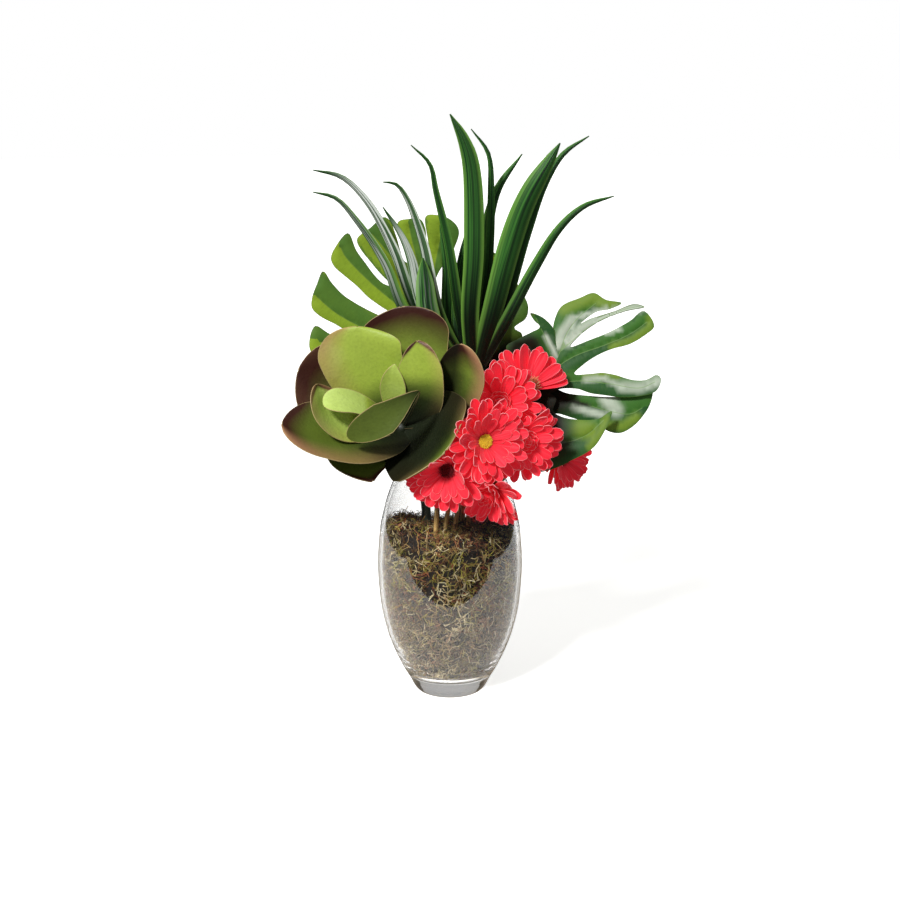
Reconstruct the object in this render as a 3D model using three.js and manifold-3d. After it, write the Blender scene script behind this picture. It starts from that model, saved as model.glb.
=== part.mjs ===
// Gerberas in a vase: seven red gerberas, a large succulent rosette, two cut monstera leaves with part of a
// third, and a tuft of sword-shaped leaves, standing in a moss-filled barrel vase of clear glass.
//
// Millimetres, +Z up. The origin is the centre of the vase's foot, on the surface that it stands on. The
// front of the arrangement, where the gerberas and the rosette face, is towards -Y, and +X is to the
// viewer's right.
//
// Flowers and leaves are placed by how they look from the front, as [across, down, depth]: across and down
// on a front view that is 900 units square, and the depth in millimetres along Y. See seen() below.

import * as THREE from "three";
import { mergeVertices } from "three/addons/utils/BufferGeometryUtils.js";
import Module from "manifold-3d";

const wasm = await Module();
wasm.setup();

const vec = (x, y, z) => new THREE.Vector3(x, y, z);
const radians = THREE.MathUtils.degToRad;

// ---------------------------------------------------------------- driving dimensions

const VIEW_MIDDLE = 450; // of the front view, in its own units
const VIEW_UNIT = 1.101; // millimetres to a unit, at the middle of the arrangement
const VIEW_AIM = vec(0, 0, 277.2); // the point in the middle of the front view
const VIEW_TILT = radians(14); // how far the front view looks down
const VIEW_DISTANCE = 1800;

const GAP = 0.4; // left between two pieces that touch
const JOIN_TOLERANCE = 0.06; // how far simplifying a joined solid may move its surface

const VASE_HEIGHT = 256;
const VASE_WALL = 3.6;
const VASE_BASE_THICKNESS = 15;
const VASE_SEGMENTS = 26;
// Outer radius at each height, from the foot to the lip.
const VASE_OUTLINE = [
  [0, 36], [3, 39.5], [14, 45.5], [28, 53.5], [46, 62], [72, 71.2], [106, 78], [146, 80.6], [184, 78.4],
  [216, 72], [240, 64], [VASE_HEIGHT, 57],
];

const MOSS_CLEARANCE = 1.8; // from the moss to the inside of the glass
const MOSS_TOP = 205;
const MOSS_SEGMENTS = 18;
const MOSS_LUMP = 3; // height of its lumps

const STEM_FOOT = 130; // how high above the table the stems end, inside the moss
const STEM_SIDES = 6;
const STEM_STEPS = 9; // along each stem
const GERBERA_STEM_RADIUS = 2.6;
const MONSTERA_STALK_RADIUS = 2.4;
const THICK_STEM_RADIUS = 5; // of the rosette and of the tuft of sword leaves
const CORE_SIDES = 10; // of the cores that leaves grow from

const PETAL_THICKNESS = 0.8;
const LEAF_THICKNESS = 1.1;
const SUCCULENT_THICKNESS = 2.2;

// ---------------------------------------------------------------- surfaces

const GLASS = { color: 0xdfe6e6, roughness: 0.03, metalness: 0, transparent: true, opacity: 0.35 };
const MOSS = { color: 0x57441f, roughness: 0.95, metalness: 0 };
const PETAL_RED = { color: 0xf2263f, roughness: 0.6, metalness: 0 };
const DISC_RED = { color: 0x5c0a14, roughness: 0.8, metalness: 0 };
const DISC_YELLOW = { color: 0xd6a91f, roughness: 0.8, metalness: 0 };
const DISC_TAN = { color: 0xb98a3c, roughness: 0.8, metalness: 0 };
const STEM_TAN = { color: 0x9a7a45, roughness: 0.7, metalness: 0 };
const SUCCULENT_GREEN = { color: 0x7d9638, roughness: 0.55, metalness: 0 };
const SWORD_GREEN = { color: 0x1f4d26, roughness: 0.35, metalness: 0 };
const MONSTERA_OLIVE = { color: 0x6d8420, roughness: 0.5, metalness: 0 };
const MONSTERA_GREEN = { color: 0x35652a, roughness: 0.3, metalness: 0 };

// ---------------------------------------------------------------- placing

/** The point at a depth that is seen at (across, down) on the front view. */
function seen(across, down, depth) {
  const back = vec(0, -Math.cos(VIEW_TILT), Math.sin(VIEW_TILT));
  const eye = VIEW_AIM.clone().addScaledVector(back, VIEW_DISTANCE);
  const onView = VIEW_AIM.clone()
    .add(vec((across - VIEW_MIDDLE) * VIEW_UNIT, 0, 0))
    .addScaledVector(vec(0, Math.sin(VIEW_TILT), Math.cos(VIEW_TILT)), (VIEW_MIDDLE - down) * VIEW_UNIT);
  return eye.clone().lerp(onView, (depth - eye.y) / (onView.y - eye.y));
}

/**
 * A unit vector facing the viewer (-Y), turned to the right by azimuth and up by elevation, both in
 * degrees.
 */
function facing(azimuth, elevation) {
  const a = radians(azimuth);
  const e = radians(elevation);
  return vec(Math.sin(a) * Math.cos(e), -Math.cos(a) * Math.cos(e), Math.sin(e));
}

/** Linear interpolation in a list of [position, value] pairs. */
function interpolate(pairs, position) {
  const next = pairs.findIndex(([p]) => p >= position);
  if (next < 0) return pairs.at(-1)[1];
  if (next === 0) return pairs[0][1];
  const [p0, v0] = pairs[next - 1];
  const [p1, v1] = pairs[next];
  return v0 + ((v1 - v0) * (position - p0)) / (p1 - p0);
}

// ---------------------------------------------------------------- solids

/** A three.js geometry of a solid. */
function geometryOf(solid) {
  const mesh = solid.getMesh();
  const positions = new Float32Array(mesh.numVert * 3);
  for (let i = 0; i < mesh.numVert; i++) {
    positions.set(mesh.vertProperties.subarray(i * mesh.numProp, i * mesh.numProp + 3), i * 3);
  }
  const geometry = new THREE.BufferGeometry();
  geometry.setAttribute("position", new THREE.BufferAttribute(positions, 3));
  geometry.setIndex(new THREE.BufferAttribute(mesh.triVerts, 1));
  geometry.computeVertexNormals();
  return geometry;
}

/** The solid that a closed geometry encloses. */
function solidOf(geometry) {
  const bare = geometry.clone();
  bare.deleteAttribute("normal");
  bare.deleteAttribute("uv");
  const merged = mergeVertices(bare, 1e-3);
  const mesh = new wasm.Mesh({
    numProp: 3,
    vertProperties: merged.getAttribute("position").array,
    triVerts: new Uint32Array(merged.index.array),
  });
  return new wasm.Manifold(mesh);
}

/** All the solids joined into one, with any pocket sealed between them filled. */
function joined(solids) {
  const whole = solids.reduce((sum, piece) => sum.add(piece));
  const shells = whole.decompose().filter((shell) => shell.volume() > 0);
  return wasm.Manifold.compose(shells).simplify(JOIN_TOLERANCE);
}

/**
 * A closed sheet over a grid of points, as thick to either side of it. Both faces are split by the same
 * diagonals, so that they never cross.
 */
function sheetSolid(rows, thickness) {
  const last = rows.length - 1;
  const side = rows[0].length - 1;
  const at = (i, j) => rows[Math.min(Math.max(i, 0), last)][Math.min(Math.max(j, 0), side)];
  const upper = [];
  const lower = [];
  rows.forEach((row, i) =>
    row.forEach((point, j) => {
      const along = at(i + 1, j).clone().sub(at(i - 1, j));
      const across = at(i, j + 1).clone().sub(at(i, j - 1));
      const normal = along.cross(across).normalize().multiplyScalar(thickness / 2);
      upper.push(point.clone().add(normal));
      lower.push(point.clone().sub(normal));
    }),
  );
  const count = upper.length;
  const top = (i, j) => i * (side + 1) + j;
  const bottom = (i, j) => count + top(i, j);
  const faces = [];
  for (let i = 0; i < last; i++) {
    for (let j = 0; j < side; j++) {
      faces.push(top(i, j), top(i + 1, j), top(i + 1, j + 1), top(i, j), top(i + 1, j + 1), top(i, j + 1));
      faces.push(bottom(i, j), bottom(i + 1, j + 1), bottom(i + 1, j));
      faces.push(bottom(i, j), bottom(i, j + 1), bottom(i + 1, j + 1));
    }
  }
  const border = [];
  for (let i = 0; i < last; i++) border.push([i, 0]);
  for (let j = 0; j < side; j++) border.push([last, j]);
  for (let i = last; i > 0; i--) border.push([i, side]);
  for (let j = side; j > 0; j--) border.push([0, j]);
  border.forEach(([i, j], k) => {
    const [m, n] = border[(k + 1) % border.length];
    faces.push(top(i, j), bottom(i, j), bottom(m, n), top(i, j), bottom(m, n), top(m, n));
  });
  const geometry = new THREE.BufferGeometry();
  const points = [...upper, ...lower].flatMap((p) => p.toArray());
  geometry.setAttribute("position", new THREE.Float32BufferAttribute(points, 3));
  geometry.setIndex(faces);
  return solidOf(geometry);
}

/** A round rod of the given radius along a smooth curve through the points. */
function rodSolid(points, radius) {
  const section = new THREE.Shape();
  for (let i = 0; i < STEM_SIDES; i++) {
    const turn = (2 * Math.PI * (i + 0.5)) / STEM_SIDES;
    const corner = [radius * Math.cos(turn), radius * Math.sin(turn)];
    if (i) section.lineTo(...corner);
    else section.moveTo(...corner);
  }
  section.closePath();
  const extrudePath = new THREE.CatmullRomCurve3(points);
  return solidOf(new THREE.ExtrudeGeometry(section, { steps: STEM_STEPS, extrudePath, bevelEnabled: false }));
}

/**
 * A solid turned from a profile of [radius, height] points, standing at a place and pointing along an axis.
 */
function turnedSolid(profile, sides, place, axis) {
  const lathe = new THREE.LatheGeometry(profile.map(([r, h]) => new THREE.Vector2(r, h)), sides);
  const turn = new THREE.Quaternion().setFromUnitVectors(vec(0, 1, 0), axis.clone().normalize());
  return solidOf(lathe.applyQuaternion(turn).translate(place.x, place.y, place.z));
}

// ---------------------------------------------------------------- the arrangement so far

const arrangement = new THREE.Group();
const placed = []; // every solid so far, so that petals can be bent clear of them

/** Adds a solid to the arrangement as a named mesh with its own material. */
function place(name, solid, surface) {
  const mesh = new THREE.Mesh(geometryOf(solid), new THREE.MeshStandardMaterial(surface));
  mesh.name = name;
  arrangement.add(mesh);
  placed.push(solid);
}

/** Whether a solid keeps its distance from all of the others. */
function isClear(solid, others) {
  const box = solid.boundingBox();
  return others.every((other) => {
    const far = other.boundingBox();
    const apart = [0, 1, 2].some((k) => box.min[k] - GAP > far.max[k] || box.max[k] + GAP < far.min[k]);
    return apart || other.minGap(solid, GAP) >= GAP;
  });
}

// ---------------------------------------------------------------- vase and moss

/** The radius inside the glass at a height. */
const insideRadius = (height) => interpolate(VASE_OUTLINE, height) - VASE_WALL;

/** The vase: a blown barrel with a thick base and an open mouth. */
function vaseSolid() {
  const floor = VASE_BASE_THICKNESS + 4;
  const outside = VASE_OUTLINE.map(([height, radius]) => [radius, height]);
  const lip = [VASE_OUTLINE.at(-1)[1] - VASE_WALL / 2, VASE_HEIGHT + VASE_WALL / 3];
  const aboveFloor = outside.filter(([, height]) => height > floor);
  const inside = aboveFloor.map(([radius, height]) => [radius - VASE_WALL, height]);
  const profile = [[0, 0], ...outside, lip, ...inside.reverse(), [insideRadius(floor) - 6, floor]];
  return turnedSolid([...profile, [0, VASE_BASE_THICKNESS]], VASE_SEGMENTS, vec(0, 0, 0), vec(0, 0, 1));
}

/** The moss: a lumpy filling that follows the glass, domed on top. */
function mossSolid() {
  const floor = VASE_BASE_THICKNESS + 7;
  const heights = [floor + 8, 44, 62, 84, 110, 136, 162, 184, MOSS_TOP - 6];
  const profile = [
    [0, floor],
    [insideRadius(floor) - 11, floor],
    ...heights.map((height) => [insideRadius(height) - MOSS_CLEARANCE, height]),
    [insideRadius(MOSS_TOP) - 12, MOSS_TOP],
    [28, MOSS_TOP + 5],
    [0, MOSS_TOP + 7],
  ];
  const lathe = new THREE.LatheGeometry(profile.map(([r, h]) => new THREE.Vector2(r, h)), MOSS_SEGMENTS);
  const position = lathe.getAttribute("position");
  for (let i = 0; i < position.count; i++) {
    const [x, height, z] = [position.getX(i), position.getY(i), position.getZ(i)];
    const radius = Math.hypot(x, z);
    const turn = Math.atan2(z, x);
    const lump = 0.5 + 0.5 * Math.sin(5 * turn + height * 0.11) * Math.cos(3 * turn - height * 0.17);
    const shrunk = radius > 1 ? (radius - MOSS_LUMP * lump) / radius : 1;
    const lift = height >= MOSS_TOP && radius > 1 ? MOSS_LUMP * Math.sin(4 * turn + radius * 0.2) : 0;
    position.setXYZ(i, x * shrunk, height + lift, z * shrunk);
  }
  return solidOf(lathe.rotateX(Math.PI / 2));
}

// ---------------------------------------------------------------- stems

const stems = []; // the points and radius of every stem, for its hole in the moss

/**
 * A stem from a flower or leaf, through the mouth of the vase and down into the moss. The mouth point lies
 * at the lip's height, and the foot point where the stem enters the moss.
 */
function stemSolid(top, via, mouth, foot, radius) {
  const line = [
    top,
    ...via,
    vec(mouth[0], mouth[1], VASE_HEIGHT),
    vec(foot[0], foot[1], MOSS_TOP),
    vec(foot[0], foot[1], STEM_FOOT),
  ];
  stems.push([[...line.slice(0, -1), vec(foot[0], foot[1], STEM_FOOT - GAP)], radius + GAP]);
  return rodSolid(line, radius);
}

// ---------------------------------------------------------------- succulent rosette

const ROSETTE_CORE = [402, 428, -52];
const ROSETTE_CORE_PROFILE = [[0, -14], [8, -12], [14, -2], [12, 8], [0, 14]];
const ROSETTE_AXIS = facing(-10, 35);
// The rosette's leaves, from the back to the middle: the point that each bends towards, its tip, its width,
// and the way across it.
const ROSETTE_LEAVES = [
  { middle: [410, 352, -38], tip: [402, 306, -48], width: 98, across: [1, 0, 0] },
  { middle: [350, 385, -36], tip: [298, 371, -52], width: 90, across: [0.4, 0, 0.9] },
  { middle: [465, 418, -76], tip: [459, 344, -92], width: 60, across: [0.8, -0.5, 0.3] },
  { middle: [345, 447, -98], tip: [281, 421, -112], width: 92, across: [0.1, -0.85, -0.5] },
  { middle: [358, 456, -70], tip: [370, 482, -100], width: 88, across: [1, 0, -0.18] },
  { middle: [424, 440, -78], tip: [435, 456, -102], width: 104, across: [0.75, 0, 0.66] },
  { middle: [357, 370, -64], tip: [355, 327, -66], width: 88, across: [0.88, 0, 0.4] },
  { middle: [428, 380, -78], tip: [420, 343, -84], width: 44, across: [0.9, -0.4, 0] },
  { middle: [322, 440, -98], tip: [317, 386, -92], width: 56, across: [-0.34, -0.75, -0.46] },
  { middle: [352, 392, -94], tip: [325, 408, -104], width: 32, across: [0, 0.8, 0.6] },
  { middle: [388, 388, -80], tip: [394, 364, -82], width: 25, across: [1, 0, 0] },
  { middle: [316, 456, -124], tip: [419, 391, -108], width: 46, across: [-0.5, -0.2, 0.85] },
];
const ROSETTE_ROWS = [0, 0.25, 0.5, 0.74, 0.92, 1];
const ROSETTE_OUTLINE = [[0, 0.2], [0.25, 0.56], [0.5, 0.9], [0.74, 1], [0.92, 0.68], [1, 0.12]];
const ROSETTE_CUPPING = 0.2; // how far a leaf's edges stand up, as a share of its half width

/** One fleshy leaf: a cupped sheet along a bent line from the core. */
function rosetteLeaf({ middle, tip, width, across }) {
  const bend = new THREE.QuadraticBezierCurve3(seen(...ROSETTE_CORE), seen(...middle), seen(...tip));
  const rows = ROSETTE_ROWS.map((s) => {
    const centre = bend.getPoint(s);
    const along = bend.getTangent(s);
    const wide = vec(...across).projectOnPlane(along).normalize();
    const up = along.clone().cross(wide);
    if (up.dot(ROSETTE_AXIS) < 0) up.negate();
    const half = (width / 2) * interpolate(ROSETTE_OUTLINE, s);
    return [-1, -0.4, 0.4, 1].map((t) =>
      centre.clone().addScaledVector(wide, half * t).addScaledVector(up, ROSETTE_CUPPING * half * t * t),
    );
  });
  return sheetSolid(rows, SUCCULENT_THICKNESS);
}

/** The whole rosette: its leaves fused to a short core, on a stem down into the moss. */
function succulentSolid() {
  const centre = seen(...ROSETTE_CORE);
  const core = turnedSolid(ROSETTE_CORE_PROFILE, CORE_SIDES, centre, ROSETTE_AXIS);
  const neck = centre.clone().addScaledVector(ROSETTE_AXIS, -6);
  const stem = stemSolid(neck, [vec(-42, -28, 290)], [-33, -14], [-26, -6], THICK_STEM_RADIUS);
  return joined([core, stem, ...ROSETTE_LEAVES.map(rosetteLeaf)]);
}

// ---------------------------------------------------------------- sword leaves

const SWORD_CROWN = [474, 378, 12];
const SWORD_CROWN_PROFILE = [[0, -16], [6, -16], [14, -4], [15, 10], [8, 20], [0, 22]];
// Each blade: the points that its middle passes on its way to the tip, its width, and the way its channel
// faces.
const SWORD_LEAVES = [
  {
    width: 15, azimuth: -40,
    points: [[408, 316, 6], [385, 262, 0], [356, 219, -8], [336, 198, -12], [313, 192, -14]],
  },
  {
    width: 15, azimuth: -35,
    points: [[418, 310, 16], [394, 249, 10], [368, 202, 4], [342, 177, 0], [313, 170, -4]],
  },
  {
    width: 14, azimuth: -30,
    points: [[440, 316, 2], [423, 241, -4], [407, 198, -8], [396, 184, -12], [383, 182, -16]],
  },
  {
    width: 15, azimuth: -20,
    points: [[424, 308, -2], [411, 258, -8], [402, 236, -12], [383, 207, -16]],
  },
  {
    width: 24, azimuth: 0,
    points: [[440, 345, -4], [428, 310, -12], [425, 285, -14], [423, 260, -16]],
  },
  {
    width: 12, azimuth: -25,
    points: [[460, 316, 8], [449, 245, 0], [436, 190, -6], [430, 164, -8], [411, 145, -10]],
  },
  {
    width: 21, azimuth: -5, full: true,
    points: [[470, 316, 0], [474, 250, -6], [471, 165, -10], [463, 138, -12], [450, 114, -14]],
  },
  {
    width: 11, azimuth: 10,
    points: [[483, 316, 16], [489, 249, 14], [491, 190, 12], [488, 153, 10], [471, 129, 8]],
  },
  {
    width: 14, azimuth: 25,
    points: [[480, 316, 24], [485, 240, 30], [495, 190, 34], [522, 154, 36]],
  },
  {
    width: 25, azimuth: 15, full: true,
    points: [[491, 316, 2], [511, 240, -6], [527, 198, -10], [560, 143, -12]],
  },
  {
    width: 15, azimuth: 20,
    points: [[502, 310, 14], [526, 232, 14], [545, 182, 14], [564, 153, 14], [589, 136, 14]],
  },
  {
    width: 15, azimuth: 30,
    points: [[505, 322, 4], [535, 266, 0], [560, 227, -4], [584, 206, -6], [614, 196, -8]],
  },
  {
    width: 13, azimuth: 0,
    points: [[449, 335, 18], [447, 305, 20], [446, 265, 22], [440, 225, 24]],
  },
  {
    width: 13, azimuth: 0,
    points: [[459, 335, 12], [458, 295, 16], [462, 258, 20], [472, 215, 24]],
  },
  {
    width: 16, azimuth: 0,
    points: [[466, 330, 30], [468, 270, 50], [473, 220, 68], [475, 182, 88]],
  },
  {
    width: 16, azimuth: 10,
    points: [[490, 335, 28], [501, 285, 50], [512, 245, 74], [523, 206, 98]],
  },
];
const SWORD_STATIONS = 7;
const SWORD_OUTLINE = [[0, 0.7], [0.3, 1], [0.55, 0.86], [0.75, 0.6], [0.9, 0.32], [1, 0.08]];
const SWORD_FULL_OUTLINE = [[0, 0.65], [0.3, 0.92], [0.55, 1], [0.8, 0.84], [0.92, 0.48], [1, 0.08]];
const SWORD_CHANNEL = 0.2; // depth of the fold, as a share of the width

/** One sword-shaped blade, folded along its middle and tapering to a point. */
function swordLeaf({ points, width, azimuth, full }) {
  const path = new THREE.CatmullRomCurve3([SWORD_CROWN, ...points].map((p) => seen(...p)));
  const rows = [];
  for (let i = 0; i <= SWORD_STATIONS; i++) {
    const s = i / SWORD_STATIONS;
    const middle = path.getPointAt(s);
    const along = path.getTangentAt(s);
    const wide = facing(azimuth, 0).cross(along).normalize();
    const front = along.clone().cross(wide);
    const half = (width / 2) * interpolate(full ? SWORD_FULL_OUTLINE : SWORD_OUTLINE, s);
    rows.push([
      middle.clone().addScaledVector(wide, -half),
      middle.clone().addScaledVector(front, 2 * half * SWORD_CHANNEL),
      middle.clone().addScaledVector(wide, half),
    ]);
  }
  return sheetSolid(rows, LEAF_THICKNESS);
}

/** The tuft: every blade fused into the crown, on one stem down into the moss. */
function swordSolid() {
  const centre = seen(...SWORD_CROWN);
  const crown = turnedSolid(SWORD_CROWN_PROFILE, CORE_SIDES, centre, vec(0, 0, 1));
  const top = centre.clone().add(vec(0, 0, -8));
  const stem = stemSolid(top, [], [12, 14], [10, 14], THICK_STEM_RADIUS);
  return joined([crown, stem, ...SWORD_LEAVES.map(swordLeaf)]);
}

// ---------------------------------------------------------------- monstera leaves

// Each leaf is one or more pieces of blade. A piece has its outline on the front view, cut into lobes, and
// lies on a bowed surface: the depth at a point of it, the change of depth across and down, and how much it
// bows.
const MONSTERAS = {
  monstera_left: {
    surface: MONSTERA_OLIVE,
    pieces: [
      {
        at: [425, 325],
        depth: 56,
        slope: [0.05, -0.12],
        bow: -0.08,
        outline: [
          [315, 326], [330, 334], [360, 343], [395, 343], [375, 338], [348, 331], [335, 324], [320, 316],
          [312, 308], [312, 298], [317, 284], [323, 271], [331, 282], [342, 294], [355, 303], [378, 315],
          [404, 326], [394, 315], [382, 307], [368, 297], [357, 286], [345, 276], [334, 266], [331, 258],
          [336, 246], [348, 233], [356, 250], [366, 264], [376, 277], [384, 284], [392, 286], [380, 273],
          [370, 261], [360, 248], [357, 239], [370, 228], [384, 217], [390, 221], [396, 236], [405, 262],
          [409, 262], [402, 240], [398, 222], [408, 219], [420, 219], [425, 228], [427, 250], [429, 262],
          [431, 262], [428, 240], [426, 216], [437, 215], [448, 218], [457, 226], [459, 233], [455, 246],
          [450, 256], [440, 270], [434, 286], [437, 300], [446, 296], [462, 290], [466, 304], [456, 318],
          [440, 330], [432, 345], [420, 352], [404, 352], [380, 362], [350, 366], [326, 362], [310, 350],
        ],
      },
    ],
    stalk: { top: [426, 326, 58], mouth: [-16, 26], foot: [-14, 22] },
  },
  monstera_right: {
    surface: MONSTERA_GREEN,
    pieces: [
      {
        at: [556, 365],
        depth: 12,
        slope: [-0.12, -0.3],
        bow: 0.05,
        outline: [
          [540, 385], [548, 366], [556, 348], [553, 330], [556, 316], [562, 306], [580, 298], [594, 293],
          [606, 300], [622, 303], [610, 309], [596, 312], [580, 324], [590, 319], [615, 311], [634, 304],
          [645, 307], [626, 311], [600, 321], [580, 335], [570, 347], [590, 340], [610, 332], [630, 321],
          [643, 311], [651, 318], [654, 327], [645, 335], [630, 344], [612, 349], [598, 355], [584, 364],
          [574, 374], [590, 374], [602, 373], [615, 375], [632, 380], [646, 380], [657, 375], [661, 379],
          [656, 390], [640, 394], [620, 395], [604, 391], [585, 388], [570, 387], [565, 390], [570, 393],
          [590, 395], [615, 397], [635, 396], [652, 391], [650, 404], [642, 417], [632, 427], [620, 433],
          [608, 431], [598, 424], [584, 420], [568, 416], [556, 411], [548, 404], [542, 396],
        ],
      },
      {
        at: [545, 392],
        depth: 5,
        slope: [-0.22, -0.36],
        bow: -0.04,
        outline: [
          [540, 392], [556, 398], [550, 410], [562, 417], [580, 420], [598, 419], [612, 411], [609, 422],
          [603, 434], [595, 446], [586, 453], [572, 460], [558, 467], [540, 472], [528, 470], [532, 440],
          [534, 410],
        ],
      },
      {
        at: [548, 350],
        depth: 16,
        slope: [0.1, -0.2],
        bow: 0,
        outline: [
          [560, 352], [556, 345], [554, 330], [548, 322], [540, 316], [530, 313], [534, 320], [540, 327],
          [532, 333], [522, 340], [513, 347], [524, 352], [536, 358], [545, 362], [548, 374],
        ],
      },
    ],
    stalk: { top: [547, 372, 12], mouth: [36, 24], foot: [28, 20] },
  },
  monstera_back: {
    surface: MONSTERA_OLIVE,
    pieces: [
      {
        at: [510, 320],
        depth: 64,
        slope: [0.1, -0.2],
        bow: 0,
        outline: [
          [494, 345], [488, 320], [486, 290], [490, 262], [493, 252], [502, 262], [512, 276], [522, 292],
          [528, 306], [526, 318], [514, 328], [522, 334], [516, 342], [504, 348],
        ],
      },
    ],
    stalk: { top: [500, 338, 62], mouth: [14, 36], foot: [10, 32] },
  },
};
const MONSTERA_GRID = 34; // front view units between the folds of a bowed surface

/** One piece of a monstera leaf: a bowed sheet, cut to its outline as seen from the front. */
function monsteraPiece({ at, depth, slope, bow, outline }) {
  const across = outline.map(([u]) => u);
  const down = outline.map(([, v]) => v);
  const grid = (from, to) => {
    const count = Math.ceil((to - from + 4) / MONSTERA_GRID);
    return Array.from({ length: count + 1 }, (_, i) => from - 2 + (i * (to - from + 4)) / count);
  };
  const depthAt = (u, v) => {
    const [right, low] = [u - at[0], v - at[1]];
    return depth + slope[0] * right + slope[1] * low + (bow * (right * right + low * low)) / 100;
  };
  const rows = grid(Math.min(...down), Math.max(...down)).map((v) =>
    grid(Math.min(...across), Math.max(...across)).map((u) => seen(u, v, depthAt(u, v))),
  );
  const shape = new THREE.Shape(outline.map(([u, v]) => new THREE.Vector2(u, -v)));
  const cutter = new THREE.ExtrudeGeometry(shape, { depth: 1, bevelEnabled: false });
  const position = cutter.getAttribute("position");
  for (let i = 0; i < position.count; i++) {
    const point = seen(position.getX(i), -position.getY(i), 150 - 300 * position.getZ(i));
    position.setXYZ(i, ...point);
  }
  return sheetSolid(rows, LEAF_THICKNESS).intersect(solidOf(cutter));
}

/** A whole leaf: its pieces fused to the top of the stalk. */
function monsteraSolid({ pieces, stalk }) {
  const stem = stemSolid(seen(...stalk.top), [], stalk.mouth, stalk.foot, MONSTERA_STALK_RADIUS);
  return joined([stem, ...pieces.map(monsteraPiece)]);
}

// ---------------------------------------------------------------- gerberas

// Each flower head: its middle, the way it faces, the surface of its disc, and where its stem passes. A
// smaller or half open head has a share of the petals' full size.
const GERBERAS = [
  { at: [530, 389, -14], azimuth: 15, elevation: 30, disc: DISC_TAN, mouth: [40, -8], foot: [30, -4] },
  { at: [499, 405, -40], azimuth: 0, elevation: 18, disc: DISC_RED, mouth: [20, -26], foot: [14, -18] },
  { at: [519, 439, -60], azimuth: 30, elevation: 0, disc: DISC_RED, mouth: [32, -30], foot: [20, -30] },
  { at: [483, 441, -96], azimuth: 25, elevation: 8, disc: DISC_YELLOW, mouth: [8, -40], foot: [-4, -34] },
  {
    at: [448, 468, -102], azimuth: -12, elevation: -14, disc: DISC_RED, mouth: [-10, -42], foot: [-15, -36],
  },
  {
    at: [493, 488, -82], azimuth: -44, elevation: -30, share: 0.86, disc: DISC_RED,
    via: [vec(33, -50, 270)], mouth: [20, -40], foot: [6, -38],
  },
  {
    at: [560, 457, 50], azimuth: 58, elevation: -6, share: 0.76, disc: DISC_RED,
    via: [vec(60, 18, 282)], mouth: [41, 6], foot: [36, 6],
  },
];
const BARE_SIDE = { head: 0, from: 270, to: 359 }; // where the first head is pressed bare by its neighbours
const PETAL_LAYERS = [
  { count: 14, root: 4, length: 47, width: 13.4, columns: [-1, 0, 1], rise: 13, lift: -1.5, step: 0 },
  { count: 10, root: 4, length: 36, width: 12, columns: [-1, 1], rise: 33, lift: 1.5, step: 0.5 },
];
const PETAL_ROWS = [0, 0.66, 1];
const PETAL_OUTLINE = [[0, 0.12], [0.66, 1], [1, 0.58]];
const PETAL_HOLLOW = 0.16; // how far a petal's edges stand up, as a share of its half width
// Degrees that a petal may be bent by to clear the others, in the order that they are tried.
const PETAL_BENDS = [0, 6, -6, 12, -12, 20, -20, 30, 40, 52];
const HUB_PROFILE = [[0, -5], [6, -4.5], [9, -1], [9, 3], [0, 3.6]];
const DISC_PROFILE = [[0, 4.2], [6.4, 4.2], [6.8, 5.4], [5, 8], [0, 9]];
const CALYX_PROFILE = [[0, -16], [2.8, -15], [6.5, -9], [7.4, -5.6], [0, -5.6]];
const HUB_SIDES = 8;

/** One petal of a head, bent up by so many degrees. */
function petalSolid(head, layer, index, bend) {
  const axis = facing(head.azimuth, head.elevation);
  const right = vec(0, 0, 1).projectOnPlane(axis).normalize().cross(axis);
  const up = axis.clone().cross(right);
  const turn = (2 * Math.PI * (index + layer.step)) / layer.count;
  const outward = right.multiplyScalar(Math.cos(turn)).addScaledVector(up, Math.sin(turn));
  const rise = radians(layer.rise + bend);
  const along = outward.clone().multiplyScalar(Math.cos(rise)).addScaledVector(axis, Math.sin(rise));
  const inner = outward.clone().multiplyScalar(-Math.sin(rise)).addScaledVector(axis, Math.cos(rise));
  const wide = along.clone().cross(inner);
  const root = seen(...head.at).addScaledVector(outward, layer.root).addScaledVector(axis, layer.lift);
  const share = head.share ?? 1;
  const rows = PETAL_ROWS.map((s) => {
    const half = share * (layer.width / 2) * interpolate(PETAL_OUTLINE, s);
    return layer.columns.map((t) =>
      root
        .clone()
        .addScaledVector(along, share * layer.length * (s - (s === 1 ? 0.06 * t * t : 0)))
        .addScaledVector(wide, half * t)
        .addScaledVector(inner, PETAL_HOLLOW * half * t * t),
    );
  });
  return sheetSolid(rows, PETAL_THICKNESS);
}

const hubs = GERBERAS.map((head) =>
  turnedSolid(HUB_PROFILE, HUB_SIDES, seen(...head.at), facing(head.azimuth, head.elevation)),
);

/** The petals of a head fused to its hub, each bent as little as keeps it clear of everything else. */
function petalsSolid(number) {
  const head = GERBERAS[number];
  const others = [...placed, ...hubs.filter((_, i) => i !== number)];
  const petals = [];
  for (const layer of PETAL_LAYERS) {
    for (let index = 0; index < layer.count; index++) {
      const turn = (360 * (index + layer.step)) / layer.count;
      const bare = number === BARE_SIDE.head && turn > BARE_SIDE.from && turn < BARE_SIDE.to;
      const bends = bare ? [] : PETAL_BENDS;
      const bend = bends.find((degrees) => isClear(petalSolid(head, layer, index, degrees), others));
      if (bend !== undefined) petals.push(petalSolid(head, layer, index, bend));
    }
  }
  return joined([hubs[number], ...petals]);
}

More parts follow.
